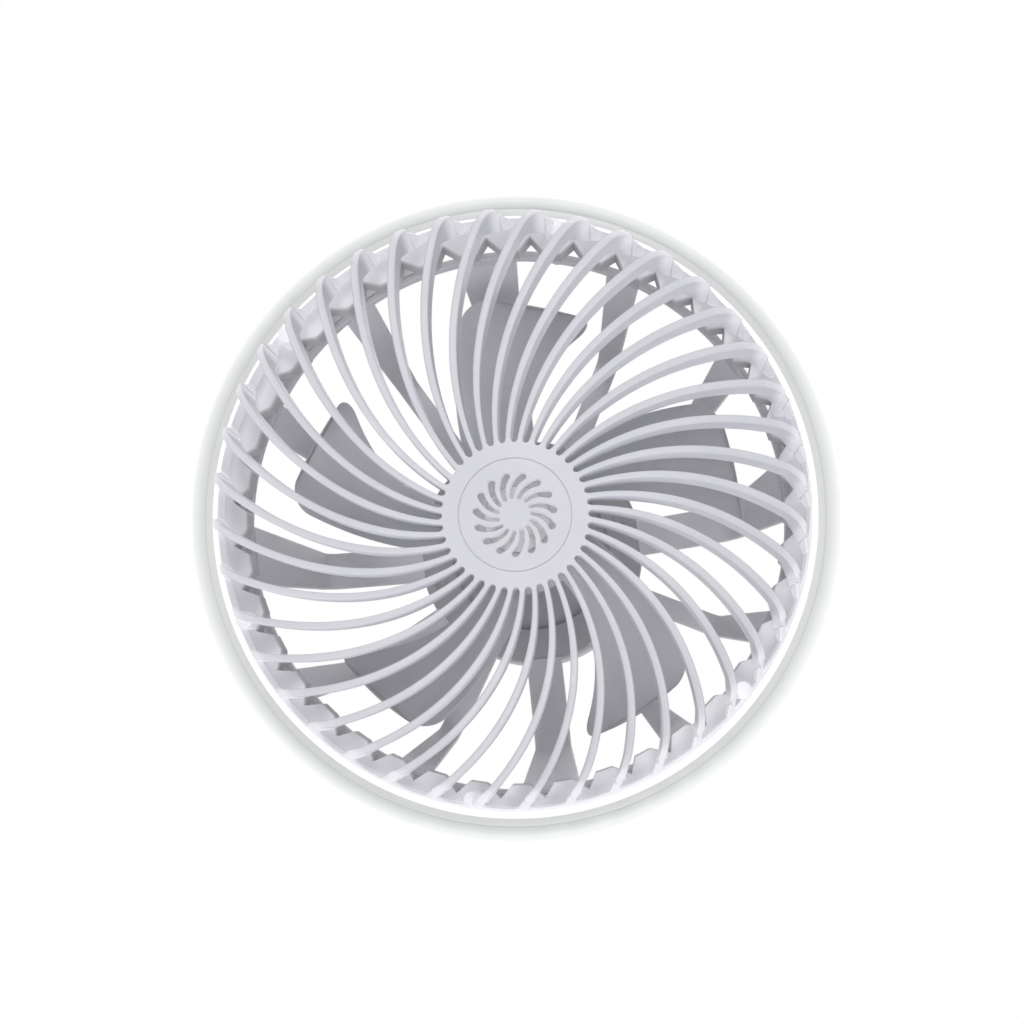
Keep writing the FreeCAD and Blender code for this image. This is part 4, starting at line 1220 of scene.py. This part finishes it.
@dataclass
class Rotor:
    """Cup over the motor with swept, twisted and bowed blades."""

    hub_r: float = 28.0
    wall: float = 2.2
    front: float = -132.0
    face_back: float = -129.5
    back: float = -108.0
    boss_r: float = 7.0
    boss_back: float = -128.0
    bore: float = 2.03
    blades: int = 5
    root_r: float = 26.6
    tip_r: float = 93.5
    crowd: float = 1.6
    phase: float = -13.0
    sweep: float = 0.427
    thick: float = 2.0
    blunt: float = 0.55
    bow: float = 0.07
    corner: float = 8.0
    span_steps: int = 40
    loop_steps: int = 44
    stations: Triple = (25.8, 60.75, 86.5)
    chords: Triple = (26.0, 37.0, 52.0)
    pitches: Triple = (42.0, 30.0, 20.0)

    def blade(self) -> Array:
        """One blade, as a thin bowed loop carried outward.

        Chord and pitch are smooth curves of the radius through three stations. The half chord shrinks on a quarter
        circle near the tip. Each point of the loop lies a share of the chord along a line that leans by the pitch,
        lifted by a parabola of bow and half the thickness, and is drawn onto its own radius.

        Returns:
            Grid of radius by loop.
        """
        s = np.linspace(0.0, 1.0, self.span_steps)
        radius = self.root_r + (self.tip_r - self.root_r) * (1 - (1 - s) ** self.crowd)
        chord = np.polyval(np.polyfit(self.stations, self.chords, 2), radius)
        pitch = np.radians(np.polyval(np.polyfit(self.stations, self.pitches, 2), radius))
        past = np.clip(radius - (self.tip_r - self.corner), 0.0, self.corner)
        half = chord / 2 - (self.corner - np.sqrt(self.corner ** 2 - past ** 2 + 1e-9))
        turn = np.linspace(0.0, 2 * math.pi, self.loop_steps, endpoint=False)
        share = np.cos(turn)[None, :]
        skin = np.sign(np.sin(turn)) * np.abs(np.sin(turn)) ** self.blunt * self.thick / 2
        along = half[:, None] * share
        lift = self.bow * chord[:, None] * (1 - share ** 2) + skin[None, :]
        lean = pitch[:, None]
        side = along * np.cos(lean) - lift * np.sin(lean)
        height = (self.front + self.back) / 2 + along * np.sin(lean) + lift * np.cos(lean)
        own = radius[:, None]
        inner = np.sqrt(np.maximum(own ** 2 - side ** 2, 1.0))
        angle = np.radians(self.phase - self.sweep * (self.tip_r - inner)) + np.arctan2(side, inner)
        return capped(np.stack((own * np.cos(angle), own * np.sin(angle), height), axis=-1))

    def cup(self) -> Array:
        """Hub cup, turned from an outline with a rounded face and a boss inside.

        Returns:
            Grid of outline by angle.
        """
        inner = self.hub_r - self.wall
        corners = ((self.bore, self.front), (self.hub_r, self.front), (self.hub_r, self.back), (inner, self.back),
                   (inner, self.face_back), (self.boss_r, self.face_back), (self.boss_r, self.boss_back),
                   (self.bore, self.boss_back))
        return lathe(rounded(corners, (0.2, 2.5, 0.5, 0.5, 1.0, 0.4, 0.2, 0.2), 6))

    def build(self, finish: Material) -> None:
        """Makes the rotor as one moulding.

        Args:
            finish: Material of the moulding.
        """
        skin = Skin("five_blade_rotor", 50.0)
        skin.closed(self.cup())
        skin.around(self.blade(), self.blades)
        skin.build(Body.ROTOR, "rotor_white", "fan_rotor", finish)


# Studio


@dataclass
class Studio:
    """Camera, soft lamps, pale floor and white surround."""

    eye: Triple = (0.0335, 0.0770, -0.546)
    target: Triple = (0.0312, 0.0658, -0.143)
    shift: Pair = (-0.080, 0.165)
    lens: float = 36.04
    floor_z: float = -1.7
    floor_half: float = 4.0
    floor_steps: int = 9
    aim: Triple = (0.0, 0.0, -0.12)
    soft_level: float = 0.38
    lamps: tuple[tuple[str, Triple, float, float], ...] = (
        ("key_lamp", (0.0, -1.10, -1.35), 0.55, 8.2),
        ("fill_lamp", (0.1, 1.0, -1.2), 0.9, 9.6),
        ("back_lamp", (0.5, -0.9, 1.1), 1.2, 4.0),
    )

    def hang(self, data: Camera | Light, place: Triple, turn: Quaternion) -> Object:
        """Puts a camera or a lamp in the scene.

        Args:
            data: Its settings, which also name it.
            place: Where it hangs.
            turn: How it is turned.

        Returns:
            The new object.
        """
        thing = bpy.data.objects.new(data.name, data)
        thing.location = place
        thing.rotation_mode = "QUATERNION"
        thing.rotation_quaternion = turn
        bpy.context.scene.collection.objects.link(thing)
        return thing

    def camera(self) -> None:
        """Looks up along the fan's axis from a little off it, with the picture's top toward -Y."""
        data = bpy.data.cameras.new("room_camera")
        data.lens = self.lens
        data.shift_x, data.shift_y = self.shift
        data.clip_start, data.clip_end = 0.01, 50.0
        ahead = (Vector(self.target) - Vector(self.eye)).normalized()
        right = ahead.cross(Vector((0.0, -1.0, 0.0))).normalized()
        up = right.cross(ahead)
        turn = Matrix([[right[i], up[i], -ahead[i]] for i in range(3)]).to_quaternion()
        bpy.context.scene.camera = self.hang(data, self.eye, turn)

    def lamp(self, name: str, place: Triple, size: float, power: float) -> None:
        """Square soft lamp that faces the middle of the fan.

        Args:
            name: Name of the lamp.
            place: Where it hangs.
            size: Length of its sides in metres.
            power: Its power in watts.
        """
        data = bpy.data.lights.new(name, "AREA")
        data.size = size
        data.energy = power
        self.hang(data, place, (Vector(self.aim) - Vector(place)).to_track_quat("-Z", "Y"))

    def world(self) -> None:
        """White to the camera, to mirrors and through glass, and a plain soft fill for everything else."""
        world = bpy.data.worlds.new("white_room")
        bpy.context.scene.world = world
        g = Graph(world)
        rays = g.make("ShaderNodeLightPath", {}, {}).outputs
        camera, mirror, glass = (Wire(g, rays["Is %s Ray" % kind]) for kind in ("Camera", "Glossy", "Transmission"))
        seen = g.math("MAXIMUM", g.math("MAXIMUM", camera, mirror), glass)
        level = g.node("ShaderNodeMapRange", {}, {0: seen, 3: self.soft_level, 4: 1.0})
        shade = g.node("ShaderNodeBackground", {}, {"Color": (*WHITE, 1.0), "Strength": level})
        g.make("ShaderNodeOutputWorld", {}, {"Surface": shade})

    def floor(self) -> None:
        """Plain pale floor far below the fan."""
        graph = Graph(bpy.data.materials.new("pale_floor"))
        cloud = graph.noise(graph.place(), 3.0, 3.0)
        base = graph.mix(cloud, (0.86, 0.86, 0.86), (0.90, 0.90, 0.90))
        finish = graph.surface({"Base Color": base, "Roughness": 0.8 + (cloud - 0.5) * 0.1})
        span = np.linspace(-self.floor_half, self.floor_half, self.floor_steps)
        x, y = np.meshgrid(span, span, indexing="ij")
        points = np.stack((x, y, np.full_like(x, self.floor_z)), axis=-1).reshape(-1, 3)
        quads = meshed(self.floor_steps, self.floor_steps)
        mesh = bpy.data.meshes.new("studio_floor")
        mesh.from_pydata(points.tolist(), [], quads.tolist())
        mesh.materials.append(finish)
        floor = bpy.data.objects.new("studio_floor", mesh)
        bpy.context.scene.collection.objects.link(floor)

    def build(self) -> None:
        """Sets the whole studio and the plain view transform."""
        bpy.context.scene.view_settings.view_transform = "Standard"
        self.camera()
        self.world()
        self.floor()
        for lamp in self.lamps:
            self.lamp(*lamp)


# Finishes of the solids that are carried over
CARRIED: tuple[tuple[Finish, tuple[str, ...]], ...] = (
    # painted shade: the white pod is coloured mid grey, as it looks in shade from below
    (Plastic("pod_painted_shade_plastic", (0.56, 0.56, 0.585), (0.51, 0.51, 0.535), 0.45),
     ("ceiling_plate", "pod_cover", "pod_shell")),
    (Plastic("button_plastic", (0.46, 0.46, 0.49), (0.40, 0.40, 0.43), 0.38, 0.00003, 0.2),
     ("speed_button", "light_button")),
    (Plastic("black_plastic", (0.035, 0.035, 0.038), (0.022, 0.022, 0.024), 0.5),
     ("cell_cradle", "board_chips", "tact_switches")),
    (Plastic("clear_pin_plastic", (0.72, 0.76, 0.76), (0.66, 0.70, 0.70), 0.15, 0.00001, 0.4), ("charge_light",)),
    (Plastic("lamp_resin", (0.90, 0.80, 0.38), (0.82, 0.70, 0.28), 0.25, 0.00001, 0.3), ("led_chips",)),
    (Metal("screw_steel_bare", (0.62, 0.62, 0.63), 0.32),
     ("cover_screws", "guard_screws", "stem_screws", "ring_screws", "cell_contacts")),
    (Metal("bright_steel_bare", (0.80, 0.80, 0.81), 0.14),
     ("rotor_washer", "rotor_nut", "motor_shaft", "shaft_clip", "charging_socket", "motor_bearings")),
    (Metal("drawn_steel_bare", (0.50, 0.50, 0.52), 0.38), ("motor_can",)),
    (Metal("cast_alloy_bare", (0.66, 0.66, 0.67), 0.46), ("motor_base",)),
    (Metal("sheet_iron_bare", (0.27, 0.27, 0.29), 0.5, 9000.0), ("stator_core",)),
    (Metal("magnet_bare", (0.10, 0.10, 0.11), 0.55), ("magnet_ring",)),
    (Metal("winding_copper_bare", (0.62, 0.27, 0.12), 0.28, 3600.0, 0.00006), ("stator_windings",)),
    (CircuitBoard("green_board", (0.02, 0.15, 0.06), (0.04, 0.22, 0.10)), ("control_board",)),
    (CircuitBoard("white_board", (0.80, 0.80, 0.79), (0.70, 0.70, 0.69)), ("led_board",)),
    (Sleeve("cell_film", (0.035, 0.10, 0.24), (0.025, 0.075, 0.19), 0.3), ("battery_cells",)),
    (Sleeve("lead_rubber", (0.016, 0.016, 0.018), (0.028, 0.028, 0.030), 0.55), ("motor_lead",)),
)


def dress(finish: Material, *nodes: str) -> None:
    """Gives carried-over solids their material.

    Args:
        finish: Material that they get.
        nodes: Names of the solids.
    """
    for node in nodes:
        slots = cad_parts[node].data.materials
        slots.clear()
        slots.append(finish)
        LOG.info("%s: dressed in %s", node, finish.name)


def main() -> None:
    """Builds the studio, the new pieces and the finishes in order."""
    logging.basicConfig(level=logging.INFO, format="%(name)s %(message)s")
    Studio().build()
    # painted glow: the flared wall near the ring glows, standing in for light from the lit band
    white = Plastic("white_plastic", *SATIN, near=0.1060, far=0.1105, painted_glow=0.25).make()
    # painted glow: the hoop glows faintly, standing in for light from the ring
    guard = Plastic("guard_plastic", (0.80, 0.80, 0.835), (0.74, 0.74, 0.775), 0.48, near=0.1105, far=0.1122,
                    painted_glow=0.05).make()
    # painted shade: the blades darken towards their tips, as if shaded by the ring
    blade = Plastic("blade_plastic", (0.76, 0.76, 0.80), (0.70, 0.70, 0.74), 0.40, near=0.030, far=0.095,
                    painted_shade_factor=0.68).make()
    # painted shade: the white collar under the pod is coloured dark grey, as it looks in shade; the motor stem takes
    # it too
    inner = Plastic("inner_painted_shade_plastic", (0.50, 0.50, 0.53), (0.45, 0.45, 0.48), 0.5).make()
    # painted glow: the back of the hub cap glows to light the hollow behind the vents
    cap = BackGlowPlastic("cap_plastic", *SATIN, near=-0.1430, far=-0.1412, painted_glow=0.4).make()
    Grille().build(white)
    HubCap().build(cap)
    rim = GlowRim("ring_plastic", 0.1180, 0.1220, 0.1305).make()
    lit = LampBand("lit_milk", 0.1190, 0.1202).make()
    RingLight().build(rim, lit)
    RearGuard().build(guard, inner)
    Rotor().build(blade)
    dress(inner, "motor_stem")
    for finish, nodes in CARRIED:
        dress(finish.make(), *nodes)


if __name__ == "__main__":
    main()
